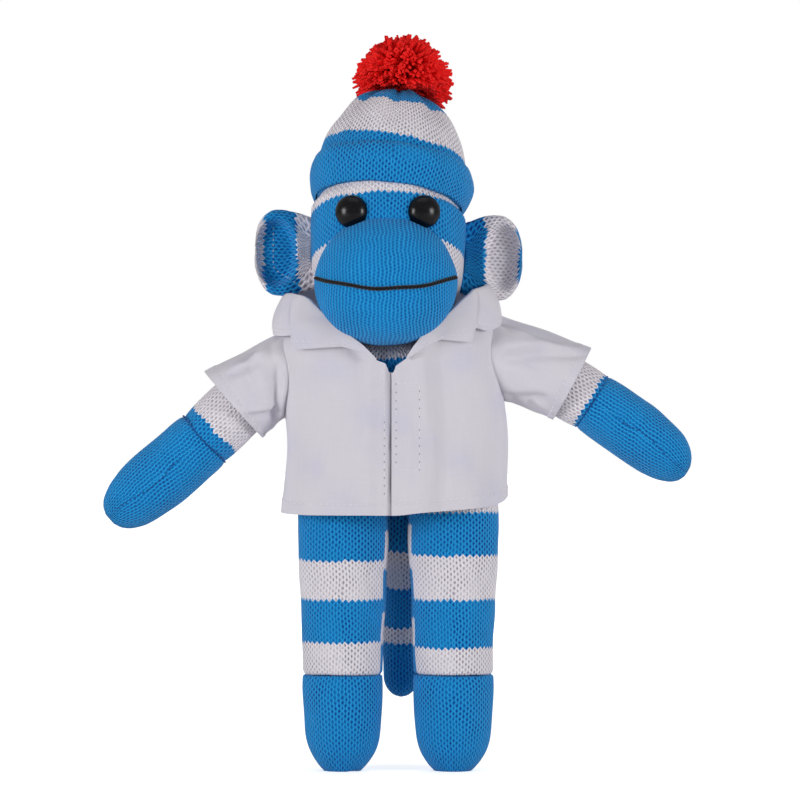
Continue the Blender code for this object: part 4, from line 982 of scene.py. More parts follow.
class DOLL_OT_arms(Operator):
    """The white arms with a blue band, and the mittens sewn to them"""

    bl_idname = "sock_doll.arms"
    bl_label = "Arms"

    def execute(self, context):
        for side in range(2):
            self.add_arm(side, context)
        return {"FINISHED"}

    def add_arm(self, side, context):
        sizes, knit, _ = look_of(context)
        word, sign = WORDS[side], SIGNS[side]
        drop, bow = ARM_DROPS[side] + (1.5, 0.0)[side], ARM_BOWS[side] - (0.0016, 0.0)[side]
        place = Matrix.Translation(JOINTS["shoulder_" + word])
        place = place @ Matrix.Rotation(math.radians(sign * (90 + drop)), 4, "Y")
        full, root = (0.0945, 0.0925)[side], 0.0115
        upper, mitten_width = (0.0429, 0.0433)[side], sizes.arm_width * (1.06, 1.0)[side]

        def centered(level):
            share = max(0.0, level / full)
            return place @ Matrix.Translation((-sign * bow * 4 * share * (1 - share), 0, level))

        angles = (np.linspace(0, 1, 12)[:-1] - 1) * math.pi / 2 * 0.97
        ways = np.linspace(0, 1, 56)
        wide = np.concatenate((root * np.cos(angles), sizes.arm_width / 2 * np.where(
            ways < 0.16, 0.9 + 0.055 * ways / 0.16, curve_at(ARM_FORM, ways, 1))))
        deep = np.concatenate((root * np.cos(angles), sizes.arm_depth / 2 * np.where(
            ways < 0.16, 0.935 + 0.02 * ways / 0.16, curve_at(ARM_FORM, ways, 2))))
        levels = np.concatenate((root * np.sin(angles), ways * (upper + 0.0004)))
        rings = rings_of([centered(level) for level in levels], wide, deep, 2.0, 96)
        knit_skin("arm_skin_" + word, rings, (levels + root) / knit.course, knit,
                  ((0, 0), (upper + root - (0.0051, 0.0013)[side], 1)), 0.06, "white_knit",
                  "arm_" + word, ["arm_" + word], 0.85, (sizes.lumpiness, 0.012, 11 + side),
                  ragged=1.2, openness=0.75, swing=0.08)
        ways = shares_at((0, 0.03, 6), (0.04, 0.96, 62), (0.965, 1, 12))
        start = upper + GAP
        levels = start + ways * (full - start)
        rings = rings_of([centered(level) for level in levels],
                         mitten_width / 2 * curve_at(MITTEN_FORM, ways, 1),
                         sizes.arm_depth / 2 * curve_at(MITTEN_FORM, ways, 2), 2.0, 96)
        item = knit_skin("mitten_skin_" + word, rings, levels / knit.course / 0.75, knit, ALL_BLUE, 0.20,
                         "blue_knit", "arm_" + word, ["mitten_" + word], 0.85,
                         (sizes.lumpiness, 0.012, 13 + side), 1.08, ragged=0.0, openness=0.9, swing=0.06)
        self.add_seams(item, centered, start, full, mitten_width / 2, word)

    def add_seams(self, mitten, centered, start, full, half, word):
        """The wrist's overcast stitches and the mitten's closed tip."""
        tip, wrist = ([], []), ([], [])
        for share in np.linspace(0.30, 0.985, 40):
            way = half * 0.08 * math.sin(share * 9)
            spot = centered(start + share * (full - start)) @ Vector((way, 0, 0))
            hit, place, normal, _ = mitten.ray_cast(spot - Vector((0, 0.04, 0)), Vector((0, 1, 0)))
            if hit:
                tip[0].append(place)
                tip[1].append(normal)
        for turn in np.linspace(0, math.tau, 90):
            matrix = centered(start + 0.0012)
            out = matrix.to_3x3() @ Vector((math.cos(turn), math.sin(turn), 0))
            hit, place, _, _ = mitten.ray_cast(matrix.translation + out * 0.03, -out)
            if hit:
                along = 0.0012 - 0.0004 * math.sin(turn * 3)
                wrist[0].append(place - matrix.to_3x3() @ Vector((0, 0, along)))
                wrist[1].append(out)
        lines = [(*tip, 0.0021), (*wrist, 0.0026)]
        dashes = stitches("mitten_seam_" + word, lines, 0.00032, 0.8, 0.45)
        material = yarn_finish("seam yarn " + word, (0.002, 0.10, 0.36), (0.001, 0.05, 0.22))
        finish(dashes, material, "blue_knit", "arm_" + word, ["mitten_" + word])


class DOLL_OT_legs(Operator):
    """The striped legs and the feet sewn to them"""

    bl_idname = "sock_doll.legs"
    bl_label = "Legs"

    def execute(self, context):
        for side in range(2):
            self.add_leg(side, context)
        return {"FINISHED"}

    def add_leg(self, side, context):
        sizes, knit, _ = look_of(context)
        word = WORDS[side]
        hip = JOINTS["hip_" + word]
        top, bottom = hip.z - GAP, FOOT_HEIGHT + GAP
        drops = np.linspace(1, 0, 90)
        sides = 112
        rings = rings_of([Matrix.Translation((hip.x, hip.y, top - drop * (top - bottom))) for drop in drops],
                         sizes.leg_width / 2 * curve_at(LEG_FORM, drops, 1),
                         sizes.leg_depth / 2 * curve_at(LEG_FORM, drops, 2), 2.1, sides)
        levels = top - drops * (top - bottom)
        turns = (np.arange(sides) + 0.5) / sides * 360
        # The back half was sewn on a little higher, with one seam in view between the legs
        inner_seam, outer_seam = 66, 112
        if side == 0:
            front = (turns < inner_seam) | (turns > 360 - outer_seam)
        else:
            front = (turns < outer_seam) | (turns > 360 - inner_seam)
        offsets = np.where(front, 0, -0.0124 / knit.course)
        edges = ((0.0394, 0.0527, 0.0706, 0.0880, 0.1150), (0.0407, 0.0523, 0.0710, 0.0892, 0.1071))[side]
        bands = [(0, 1), *zip(edges, (0, 1, 0, 1, 0))]
        knit_skin("leg_skin_" + word, rings, levels / knit.course, knit, bands, 0.14, "striped_knit",
                  "leg_" + word, ["leg_" + word], 0.85, (sizes.lumpiness, 0.013, 21 + side), offsets=offsets)
        rises = shares_at((0, 0.02, 4), (0.04, 0.96, 44), (0.965, 1, 6))
        rings = rings_of([Matrix.Translation((hip.x, hip.y, rise * FOOT_HEIGHT)) for rise in rises],
                         sizes.leg_width / 2 * curve_at(FOOT_FORM, rises, 1),
                         sizes.leg_depth / 2 * curve_at(FOOT_FORM, rises, 2), 2.1, sides)
        item = tube("foot_skin_" + word, rings, columns_of(rings, knit.wale),
                    rises * FOOT_HEIGHT / knit.course)
        swell(item, sizes.lumpiness * 0.7, 0.013, 23 + side)
        for vert in item.data.vertices:
            if vert.co.z < 0.0002:
                vert.co.z = 0
        material = knit_finish("foot knit " + word, knit, ALL_BLUE, 0.135, ragged=0.0)
        finish(item, material, "blue_knit", "leg_" + word, ["foot_" + word])


class DOLL_OT_tail(Operator):
    """The striped tail in one curved skin"""

    bl_idname = "sock_doll.tail"
    bl_label = "Tail"

    def execute(self, context):
        sizes, knit, _ = look_of(context)
        fine = np.linspace(0, 1, 110)
        heights, backs = (curve_at(list(zip(np.linspace(0, 1, len(TAIL_WAY)), places)), fine, 1)
                          for places in zip(*TAIL_WAY))
        radius = sizes.tail_diameter / 2
        line = np.stack([backs, heights], 1)
        ahead, steps = np.gradient(line, axis=0), running(line)
        left = steps[-1] - steps
        widths = radius * np.minimum(1, np.sqrt(np.clip(1 - (1 - left / 0.0085).clip(0) ** 2, 0.004, 1)))
        widths *= 0.72 + 0.28 * smooth(steps / 0.016)
        matrices = []
        for back, height, step in zip(backs, heights, ahead):
            lean = math.atan2(step[0], -step[1])
            matrices.append(Matrix.Translation((HIPS.x + 0.0012, HIPS.y + back, height))
                            @ Matrix.Rotation(lean, 4, "X"))
        rings = rings_of(matrices, widths, widths, 2.0, 72)[::-1]
        # The stripes go from the tip up, measured along the tail
        item = knit_skin("tail_skin", rings, left[::-1] / knit.course, knit,
                         ((0, 1), (0.0250, 0), (0.0300, 1), (0.0490, 0), (0.0650, 1), (0.0810, 0)), 0.13,
                         "striped_knit", None, ["tail", "tail_base"], 0.8, (sizes.lumpiness * 0.6, 0.011, 31))
        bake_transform(item)
        return {"FINISHED"}


class DOLL_OT_hat(Operator):
    """The knitted cap with its thick folded band"""

    bl_idname = "sock_doll.hat"
    bl_label = "Cap"

    def execute(self, context):
        _, knit, _ = look_of(context)
        self.add_crown(knit)
        self.add_cuff(knit)
        return {"FINISHED"}

    def add_crown(self, knit):
        """One knitted dome with an inner face, drawn together under the pompom."""
        cloth = 0.0012
        rings, arcs = [], []
        place = hat_matrix()
        back = place.inverted()
        # The inner face runs down from the top, and the outer one up to it
        for inset, order in ((cloth, -1), (0.0, 1)):
            levels, widths, depths = rounded(CROWN_WIDTH / 2 - inset, CROWN_DEPTH / 2 - inset,
                                             CROWN_HEIGHT - inset, CROWN_SQUARENESS, 44, 0.008)
            # The crown is fullest just above its band
            widths = widths * (1 + 0.055 * smooth((levels - 0.010) / 0.010))
            dome = rings_of([place @ Matrix.Translation((0, 0, level)) for level in levels],
                            widths, depths, HEAD_SQUARENESS, 144)
            arc = running(np.stack([levels, widths], 1))
            rings.append(dome[::order])
            arcs.append(arc[::order])
        rings, arcs = np.concatenate(rings), np.concatenate(arcs)
        self.draw_in(rings, place)

        def shape(item):
            # The bands lean a little, so they cross the crown on a slope
            relay(item, lambda spot, pair: (pair.x, pair.y + 0.075 * (back @ spot).x / knit.course))
            self.gather(item, back)

        low, high = (float(np.interp(level, levels, arc)) for level in (0.0225, 0.0404))
        item = knit_skin("hat_crown_skin", rings, arcs / knit.course, knit, ((0, 1), (low, 0), (high, 1)),
                         0.1575, "striped_knit", "head", ["hat_crown"], lumps=(0.0006, 0.012, 41),
                         shape=shape, ragged=1.1)

    def draw_in(self, rings, place):
        """The hem hugs the head."""
        back = place.inverted()
        for ring in rings:
            for point in ring:
                spot = back @ Vector(point)
                pull = 0.0010 * (1 - softly(spot.z / 0.0055))
                point -= np.array(place.to_3x3() @ Vector((spot.x, spot.y, 0)).normalized()) * pull

    def gather(self, item, back):
        """Small folds run from the pompom down the crown."""
        for vert in item.data.vertices:
            spot = back @ vert.co
            turn = math.atan2(spot.y, spot.x)
            high = softly((spot.z - 0.024) / 0.020)
            fold = math.sin(9 * turn + 0.7 * math.sin(3 * turn + 1.3)) * 0.0007 * high
            fold += math.sin(17 * turn + 0.9) * 0.0003 * high
            vert.co += (vert.co - back.inverted().translation).normalized() * (fold - 0.0003 * high)
        item.data.update()

    def add_cuff(self, knit):
        """A double fold round the crown's hem."""
        height, thick, count = 0.0172, 0.0034, 44
        rings, place = [], hat_matrix()
        back = place.inverted()
        for i in range(count):
            edge = oval(np.array([math.tau * i / count]), thick / 2, height / 2, 3.2)[0]
            level = height / 2 + edge[1]
            # The band thins out towards its lower edge
            full = 0.30 + 0.74 * softly(level / height / 0.72)
            out = GAP + (thick / 2 + edge[0]) * full
            share = bulge(level / CROWN_HEIGHT, CROWN_SQUARENESS)
            rings.append(rings_of([place @ Matrix.Translation((0, 0, level))],
                                  [CROWN_WIDTH / 2 * share + out], [CROWN_DEPTH / 2 * share + out],
                                  HEAD_SQUARENESS, 144)[0])
        rings = np.array(rings)
        self.draw_in(rings, place)
        steps = np.linalg.norm(np.roll(rings, -1, 0) - rings, axis=2).mean(1)
        vs = np.concatenate(([0], np.cumsum(steps))) / knit.course

        def ripple(item):
            for vert in item.data.vertices:
                spot = back @ vert.co
                if math.hypot(spot.x, spot.y) > CROWN_WIDTH / 2 + 0.0012:
                    outward = place.to_3x3() @ Vector((spot.x, spot.y, 0)).normalized()
                    vert.co += outward * 0.0004 * math.sin(5 * math.atan2(spot.y, spot.x) + 1)
            item.data.update()

        item = knit_skin("hat_cuff_skin", rings, vs, knit, ALL_BLUE, 0.135, "blue_knit", "head", ["hat_cuff"],
                         lumps=(0.0005, 0.010, 42), loop=True, shape=ripple, ragged=0.0)


class DOLL_OT_pompom(Operator):
    """The pompom's cut yarn, tied through the cap"""

    bl_idname = "sock_doll.pompom"
    bl_label = "Pompom"

    strands: IntProperty(name="Strands", description="How many cut ends the pompom has",
                         default=1450, min=100)

    def execute(self, context):
        sizes, knit, _ = look_of(context)
        rng = random.Random(7)
        place = hat_matrix()
        wide, half_height = sizes.pompom_width / 2, 0.0165
        center, start = CROWN_HEIGHT + 0.0102, CROWN_HEIGHT + 0.0040
        lowest = CROWN_HEIGHT + 0.0006
        tufts, tuft_count = [], 70
        for k in range(tuft_count):
            rise = -0.62 + 1.6 * (k + 0.5) / tuft_count
            turn = k * GOLDEN_TURN
            flat = math.sqrt(max(0, 1 - min(1, rise) ** 2))
            tufts.append((Vector((flat * math.cos(turn), flat * math.sin(turn), min(1, rise))),
                          rng.uniform(0.93, 1.05), rng.uniform(-0.5, 0.5)))
        points, faces = [], []
        sides, rows = 5, 7
        for _ in range(self.strands):
            aim, reach, twist = tufts[rng.randrange(len(tufts))]
            way = (aim + Vector([rng.gauss(0, 0.17) for _ in range(3)])).normalized()
            stretch = reach * rng.uniform(0.86, 1.03)
            end = Vector((way.x * wide, way.y * wide, way.z * half_height)) * stretch
            # Its sides hang over the crown
            hang = min(1.0, math.hypot(end.x, end.y) / wide) ** 2
            end.z += center - 0.0062 * hang
            end.z = max(end.z, lowest - 0.0052 * hang + rng.uniform(0.0006, 0.0026))
            end.x += 0.0012
            root = Vector((rng.gauss(0, 0.0014), rng.gauss(0, 0.0014), start + rng.gauss(0, 0.0009)))
            bow = Vector((-way.y, way.x, 0)) * twist * 0.004 + Vector((0, 0, 0.0035 * (1 - abs(way.z))))
            bow += Vector([rng.gauss(0, 0.0008) for _ in range(3)])
            radius = rng.uniform(0.00070, 0.00108)
            base = len(points)
            for r in range(rows):
                t = r / (rows - 1)
                spot = root.lerp(end, t) + bow * 4 * t * (1 - t)
                ahead = (end - root + bow * 4 * (1 - 2 * t)).normalized()
                side = ahead.cross(Vector((0.31, 0.17, 0.93))).normalized()
                up = side.cross(ahead)
                thick = radius * (0.75 + 0.35 * t) * (0.55 if r == rows - 1 else 1)
                for c in range(sides):
                    angle = math.tau * c / sides + t * 3
                    rim = side * math.cos(angle) * thick + up * math.sin(angle) * thick
                    points.append(place @ (spot + rim))
            faces += rod_faces(base, rows, sides)
        item = new_mesh("pompom_yarn", points, faces)
        material = pompom_finish("pompom yarn", knit.red, place @ Vector((0, 0, start)), sizes.pompom_width)
        finish(item, material, "red_yarn", "pompom", ["pompom"])
        for slot in bpy.data.objects["pompom_tie"].material_slots:
            slot.material = yarn_finish("tie yarn", knit.red, (0.16, 0.002, 0.002))
        return {"FINISHED"}


def pompom_finish(name, tone, middle, width):
    """Wool yarn, with painted shade deep between the strands towards the pompom's middle."""
    look = Finish(name, 0.95, 0.04)
    spot = look.spot()
    away = look.add("VectorMath", {0: spot, 1: tuple(middle)}, operation="DISTANCE").outputs["Value"]
    # Painted shade: darker towards the tie in the middle, where the strands shade each other; dark also
    # serves the plies' darker fibres
    deep = look.mapped(away, width * 0.10, width * 0.34, 0.5, 0.0)
    ply, lock = look.noise(spot, 1300.0), look.noise(spot, 240.0)
    dark = tuple(value * 0.58 for value in tone)
    bright = (min(1.0, tone[0] * 1.18), tone[1] * 2.2, tone[2] * 2.2)
    shade = look.mix(look.mapped(ply, 0.35, 0.65, 0.0, 0.22), tone, dark)
    shade = look.mix(look.mapped(lock, 0.45, 0.7, 0.0, 0.55), shade, bright)
    return look.wear({"Base Color": look.mix(deep, shade, dark), "Normal": look.bump(ply, 0.0004, 0.8)})


# Coat

COAT_FORM = (
    (0.00, 1.00, 1.09, 0.0), (0.16, 0.99, 1.045, 0.0), (0.34, 0.985, 0.98, 0.0), (0.50, 0.985, 0.92, 0.1),
    (0.64, 0.985, 0.90, 0.4), (0.76, 0.99, 0.895, 0.9), (0.86, 0.985, 0.92, 1.0), (0.93, 0.95, 0.965, 1.0),
    (0.975, 0.85, 0.995, 0.9), (1.00, 0.68, 1.01, 0.7),
)
HEM_HEIGHT, TOP_HEIGHT, SPLIT_HEIGHT = 0.106, 0.1885, 0.1455
COAT_SIZE = (0.093, 0.050)
SQUARENESS, SLOPE = 3.2, 0.07
HEM_LIFTS = (
    (-3.15, 0.0), (-2.1, 0.0014), (-1.57, 0.0024), (-1.25, 0.0006), (-0.9, 0.0), (0.0, 0.0), (0.4, 0.0011),
    (0.8, 0.0022), (1.12, 0.0036), (1.38, 0.0058), (1.57, 0.0076), (1.9, 0.0080), (2.5, 0.0030), (3.15, 0.0),
)
HEM_CURVE = (np.linspace(-3.15, 3.15, 400), curve_at(HEM_LIFTS, np.linspace(-3.15, 3.15, 400), 1))
LAP_EDGE, UNDERLAP, LAP_FADE = -0.0023, 0.0115, 0.010
STRIP = 0.0008
OPENING_MIDDLE = -0.0024
THREAD_RADIUS = 0.00017
# The armhole's oval, and how far its middle lies below the shoulder's joint
ARMHOLE_DEPTH, ARMHOLE_HEIGHT, ARMHOLE_DROP = 0.0284, 0.0362, 0.0036
# Heights are looked up in steps, this many to a metre
HEIGHT_STEPS = 20000
# The neck's edge: place across and height, on the viewer's left and right of the opening
NECK_EDGES = (
    ((-0.0036, 0.1650), (-0.0044, 0.1684), (-0.0091, 0.1702), (-0.0133, 0.1755), (-0.0185, 0.1800),
     (-0.0240, 0.1850), (-0.0340, 0.1905)),
    ((-0.0012, 0.1648), (-0.0008, 0.1674), (0.0037, 0.1706), (0.0065, 0.1755), (0.0110, 0.1805),
     (0.0165, 0.1850), (0.0260, 0.1905)),
)
# The collar: place across, height of its fold and of its edge
COLLAR_LINES = (
    ((-0.0088, 0.1706, 0.1697), (-0.0135, 0.1757, 0.1722), (-0.0175, 0.1792, 0.1741),
     (-0.0220, 0.1834, 0.1754), (-0.0280, 0.1902, 0.1748), (-0.0320, 0.1943, 0.1743),
     (-0.0350, 0.1958, 0.1741), (-0.0384, 0.1964, 0.1739),
     (-0.0395, 0.1966, 0.1746), (-0.0400, 0.1967, 0.1798), (-0.0440, 0.1974, 0.1796)),
    ((0.0037, 0.1712, 0.1702), (0.0080, 0.1775, 0.1730), (0.0104, 0.1810, 0.1746), (0.0140, 0.1845, 0.1768),
     (0.0178, 0.1890, 0.1786), (0.0230, 0.1950, 0.1783), (0.0283, 0.1992, 0.1780), (0.0294, 0.1996, 0.1785),
     (0.0299, 0.1998, 0.1838), (0.0350, 0.2004, 0.1822)),
)
COLLAR_SIDES = ((0.1985, 0.1822), (0.2012, 0.1868))
COLLAR_FLARES = (0.0030, 0.0010)
# Half sizes of the ring in which the collar's fold stands, how far it leans over to the viewer's
# left, and the row of its stitches from the fold at 0 to the edge at 1
FOLD_WIDTHS, FOLD_DEPTH, FOLD_LEAN, STITCH_ROW = (0.0424, 0.0410), 0.0305, 0.0036, 0.86


def coat_size(height):
    """The coat's half width and half depth at a height, and how its round slopes across there."""
    rise = (height - HEM_HEIGHT) / (TOP_HEIGHT - HEM_HEIGHT)
    wide, deep, slope = (table_ring(COAT_FORM, rise, column) for column in (1, 2, 3))
    return COAT_SIZE[0] / 2 * wide, COAT_SIZE[1] / 2 * deep, SLOPE * slope


def coat_shift(height):
    """The coat hangs a little to the viewer's left of the body."""
    return body_shift(height) - 0.0020 * (1 - softly((height - HEM_HEIGHT) / 0.042))


SIZES_BY_HEIGHT = {}


def size_at(height):
    key = round(height * HEIGHT_STEPS)
    if key not in SIZES_BY_HEIGHT:
        SIZES_BY_HEIGHT[key] = coat_size(key / HEIGHT_STEPS)
    return SIZES_BY_HEIGHT[key]


def drape(turn, height):
    """How far the cloth hangs in or out of its plain form."""
    rise = (height - HEM_HEIGHT) / (TOP_HEIGHT - HEM_HEIGHT)
    fade = max(0.0, 1 - rise / 0.55) * softly(abs(turn) - 0.5)
    fold = 0.0012 * fade * math.sin(9 * turn)
    soft = noise.noise(Vector((turn * 3.1, height * 26, 4.2)))
    fine = noise.noise(Vector((turn * 9.0, height * 60, 9.7)))
    return fold + 0.0007 * soft + 0.00025 * fine


def coat_point(turn, height, out=0.0, plain=False):
    """A point on the coat; the turn in radians runs from the front to the viewer's right."""
    half_width, half_depth, slope = size_at(height)
    angle = turn - math.pi / 2
    across, along = math.cos(angle), math.sin(angle)
    reach = abs(across / half_width) ** SQUARENESS + abs(along / half_depth) ** SQUARENESS
    reach **= -1 / SQUARENESS
    x, y = across * reach, along * reach
    power = SQUARENESS - 1
    outward = Vector((math.copysign(abs(x / half_width) ** power, x) / half_width,
                      math.copysign(abs(y / half_depth) ** power, y) / half_depth, 0)).normalized()
    out += 0 if plain else drape(turn, height)
    return Vector((x + coat_shift(height), y + HIPS.y, height + slope * x)) + outward * out


def front_turn(x, height):
    """The turn at which the coat's front crosses a place across."""
    half_width, half_depth, _ = size_at(height)
    across = x - coat_shift(height)
    return math.atan2(across, half_depth * bulge(across / half_width, SQUARENESS))


def even_turns(start, end, count):
    """Turns between two, closer where the coat's side is round."""
    def eased(turn):
        ease = math.atan2(math.sin(turn) / COAT_SIZE[0], math.cos(turn) / COAT_SIZE[1])
        return ease + math.tau * round((turn - ease) / math.tau)

    def back_again(ease):
        turn = math.atan2(math.sin(ease) * COAT_SIZE[0], math.cos(ease) * COAT_SIZE[1])
        return turn + math.tau * round((ease - turn) / math.tau)

    return [back_again(ease) for ease in np.linspace(eased(start), eased(end), count)]


def lap_rise(x, height):
    """How far the lapping front stands off, over the strips and the front below it."""
    fade = 1 - softly((abs(x - coat_shift(height)) - UNDERLAP) / LAP_FADE)
    return (2 * STRIP + 0.0008 + 4 * GAP) * fade


def hem_at(turn):
    """The hem hangs a little higher round the viewer's right."""
    turn = (turn + math.pi) % math.tau - math.pi
    return HEM_HEIGHT + 0.0003 + float(np.interp(turn, *HEM_CURVE))


def neck_at(x):
    """Height of the neck's edge at a place across."""
    return float(np.interp(x, *zip(*sorted(NECK_EDGES[int(x >= OPENING_MIDDLE)]))))


class DOLL_OT_coat(Operator):
    """The coat's back and its two fronts, one lapping over the other"""

    bl_idname = "sock_doll.coat"
    bl_label = "Coat"

    def execute(self, context):
        coat = context.scene.doll_coat
        cotton = cotton_finish("coat cotton", coat)
        thread = thread_finish("coat thread", tuple(coat.thread))
        side, seam = math.pi / 2, 0.0018
        back = self.grid(lambda h: side + seam, lambda h: 3 * side - seam, 150, False, coat)
        left = self.grid(lambda h: seam - side, lambda h: front_turn(UNDERLAP - 0.0035, h), 110, False, coat)
        right = self.grid(lambda h: front_turn(LAP_EDGE, h), lambda h: side - seam, 100, True, coat)
        panel = shell("coat_back_cloth", *back)
        self.fit(panel, cotton, "coat_back")
        for word, grid in zip(WORDS, (left, right)):
            node = "coat_front_" + word
            for part, rows in (("upper", (self.cut, self.rows - 1)), ("skirt", (0, self.cut))):
                panel = shell(f"coat_{part}_{word}_cloth", *grid, rows=rows)
                self.fit(panel, cotton, node, None if part == "upper" else "hip_" + word)
        self.add_stitches(coat, thread)
        self.add_strips()
        return {"FINISHED"}

    rows = 120
    cut = 56

    def fit(self, item, material, node, hip=None):
        """A piece stays on the body, and a skirt's piece gets a mesh of its own."""
        finish(item, material, "nylon_strip" if "strip" in node else "white_cotton", "body", [node])
        if hip:
            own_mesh(item)

    def heights(self, turn_of):
        """Heights of a column's rows, from the hem over the split to the neck's edge."""
        low = hem_at(turn_of(HEM_HEIGHT))
        top = TOP_HEIGHT
        for _ in range(4):
            point = coat_point(turn_of(top), top, plain=True)
            if point.y < HIPS.y:
                slope = point.z - top
                top = min(TOP_HEIGHT, neck_at(point.x) - slope)
        under = np.linspace(low, SPLIT_HEIGHT, self.cut + 1)
        over = np.linspace(SPLIT_HEIGHT, top, self.rows - self.cut)
        return np.concatenate((under, over[1:]))

    def grid(self, start, end, columns, lapping, coat):
        """Outer and inner points, places on the cloth and the armhole's left-out faces."""
        outer, inner = np.zeros((self.rows, columns, 3)), np.zeros((self.rows, columns, 3))
        known = {}

        def turns_at(height):
            key = round(height * HEIGHT_STEPS)
            if key not in known:
                known[key] = even_turns(start(key / HEIGHT_STEPS), end(key / HEIGHT_STEPS), columns)
            return known[key]

        for c in range(columns):
            def turn_of(height):
                return turns_at(height)[c]
            for r, height in enumerate(self.heights(turn_of)):
                turn = turn_of(height)
                low = hem_at(turn)
                x = coat_point(turn, height, plain=True).x
                out = lap_rise(x, height) if lapping else 0.0
                # The hem is folded double and a little puckered by its stitches
                hem = 1 - softly((height - low - coat.hem + 0.0004) / 0.0008)
                pucker = 0.00012 * math.sin(turn * 95 + 2 * math.sin(turn * 7)) * (
                    1 - softly(abs(height - low - coat.hem) / 0.003))
                out += 0.00035 * hem + pucker
                out += self.edge_form(lapping, x)
                outer[r, c] = coat_point(turn, height, out)
                thick = coat.cloth + 0.00035 * hem
                inner[r, c] = coat_point(turn, height, out - thick)
        return outer, inner, cloth_places(outer, self.rows // 2), False, self.armholes(outer)

    def edge_form(self, lapping, x):
        """The rounded front edge and the ridge of its stitched facing."""
        if lapping:
            away = x - LAP_EDGE
            ridge = 0.00015 * math.exp(-((away - 0.0014) / 0.0011) ** 2)
            return -0.0003 * (1 - softly(away / 0.0008)) + ridge
        rise = 0.0021 * softly((x + 0.0125) / 0.0062) + 0.0003 * math.exp(-((x + 0.0052) / 0.0010) ** 2)
        return rise * (1 - softly((x + 0.0025) / 0.0004))

    def armholes(self, outer):
        """The faces inside the armholes, which are left out."""
        skip = set()
        for side, sign in enumerate(SIGNS):
            place = JOINTS["shoulder_" + WORDS[side]]
            away = np.hypot((outer[:, :, 1] - place.y) / (ARMHOLE_DEPTH / 2 - 0.0010),
                            (outer[:, :, 2] - place.z + ARMHOLE_DROP) / (ARMHOLE_HEIGHT / 2 - 0.0010))
            out = (outer[:, :, 0] - coat_shift(0.17)) * sign > 0.022
            for r, c in zip(*np.nonzero((away < 1) & out)):
                for a in (r - 1, r):
                    for b in (c - 1, c):
                        if 0 <= a < outer.shape[0] - 1 and 0 <= b < outer.shape[1] - 1:
                            skip.add((a, b))
        return skip

    def on_coat(self, x, height, lapping):
        """A point on a front's outer face and the way out of it."""
        turn = front_turn(x, height)
        out = lap_rise(x, height) if lapping else 0.0
        out += self.edge_form(lapping, x)
        point = coat_point(turn, height, out)
        return point, coat_point(turn, height, out + 0.001) - point

    def add_stitches(self, coat, thread):
        hem_lines = []
        for low, high in ((-math.pi / 2 + 0.03, 0.0), (0.0, math.pi / 2 - 0.03),
                          (math.pi / 2 + 0.03, 3 * math.pi / 2 - 0.03)):
            path, outs = [], []
            for turn in np.linspace(low, high, 160):
                height = hem_at(turn) + coat.hem
                x = coat_point(turn, height, plain=True).x
                lapping = low == 0.0
                if lapping and x < LAP_EDGE + 0.002 or low < 0 and x > LAP_EDGE - 0.0035:
                    continue
                out = lap_rise(x, height) if lapping else 0.0
                point = coat_point(turn, height, out + 0.00012)
                path.append(point)
                outs.append(coat_point(turn, height, out + 0.00112) - point)
            hem_lines.append((path, outs, coat.stitch))

        def line(spots, lapping, pitch):
            path, outs = zip(*[self.on_coat(x, height, lapping) for x, height in spots])
            return (path, outs, pitch, 0.00026) if pitch == coat.placket_stitch else (path, outs, pitch)

        def run(spots, count=60):
            spots = np.array(spots, float)
            steps = running(spots)
            at = np.linspace(0, steps[-1], count)
            return list(zip(np.interp(at, steps, spots[:, 0]), np.interp(at, steps, spots[:, 1])))

        pitch = coat.placket_stitch
        near, far, facing = -0.0004, 0.0091, -0.0052
        over, under = SPLIT_HEIGHT + 0.001, SPLIT_HEIGHT - 0.001
        box = ((near, 0.1602), (far, 0.1602), (far, 0.1249), (near, 0.1249))
        lapel_right = ((0.0002, 0.1655), (0.0036, 0.1685), (0.0066, 0.1712), (0.0128, 0.1758),
                       (0.0185, 0.1775))
        lapel_left = ((facing, over), (-0.0054, 0.1640), (-0.0062, 0.1664), (-0.0108, 0.1685),
                      (-0.0150, 0.1712), (-0.0190, 0.1733))
        upper_right = [line(run(((near, over), box[0])), True, pitch),
                       line(run((box[1], (far, over))), True, pitch),
                       line(run((box[0], box[1])), True, coat.stitch),
                       line(run(lapel_right), True, coat.stitch)]
        skirt_right = [line(run(((far, under), box[2])), True, pitch),
                       line(run((box[2], box[3])), True, coat.stitch),
                       line(run((box[3], (near, under))), True, pitch), hem_lines[1]]
        upper_left = [line(run(lapel_left), False, coat.stitch)]
        skirt_left = [line(run(((facing, 0.1120), (facing, under))), False, pitch), hem_lines[0]]
        groups = (("coat_back", None, [hem_lines[2]], "coat_back_stitches"),
                  ("coat_front_left", None, upper_left, "upper_left_stitches"),
                  ("coat_front_right", None, upper_right, "upper_right_stitches"),
                  ("coat_front_left", "hip_left", skirt_left, "skirt_left_stitches"),
                  ("coat_front_right", "hip_right", skirt_right, "skirt_right_stitches"))
        # Painted shade for the needle holes: the cotton's colour, darkened
        hole = thread_finish("coat thread hole shade", tuple(value * 0.32 for value in coat.cotton))
        for node, hip, lines, name in groups:
            item = stitches(name, lines, THREAD_RADIUS)
            self.fit(item, thread, node, hip)
            item.data.materials.append(hole)

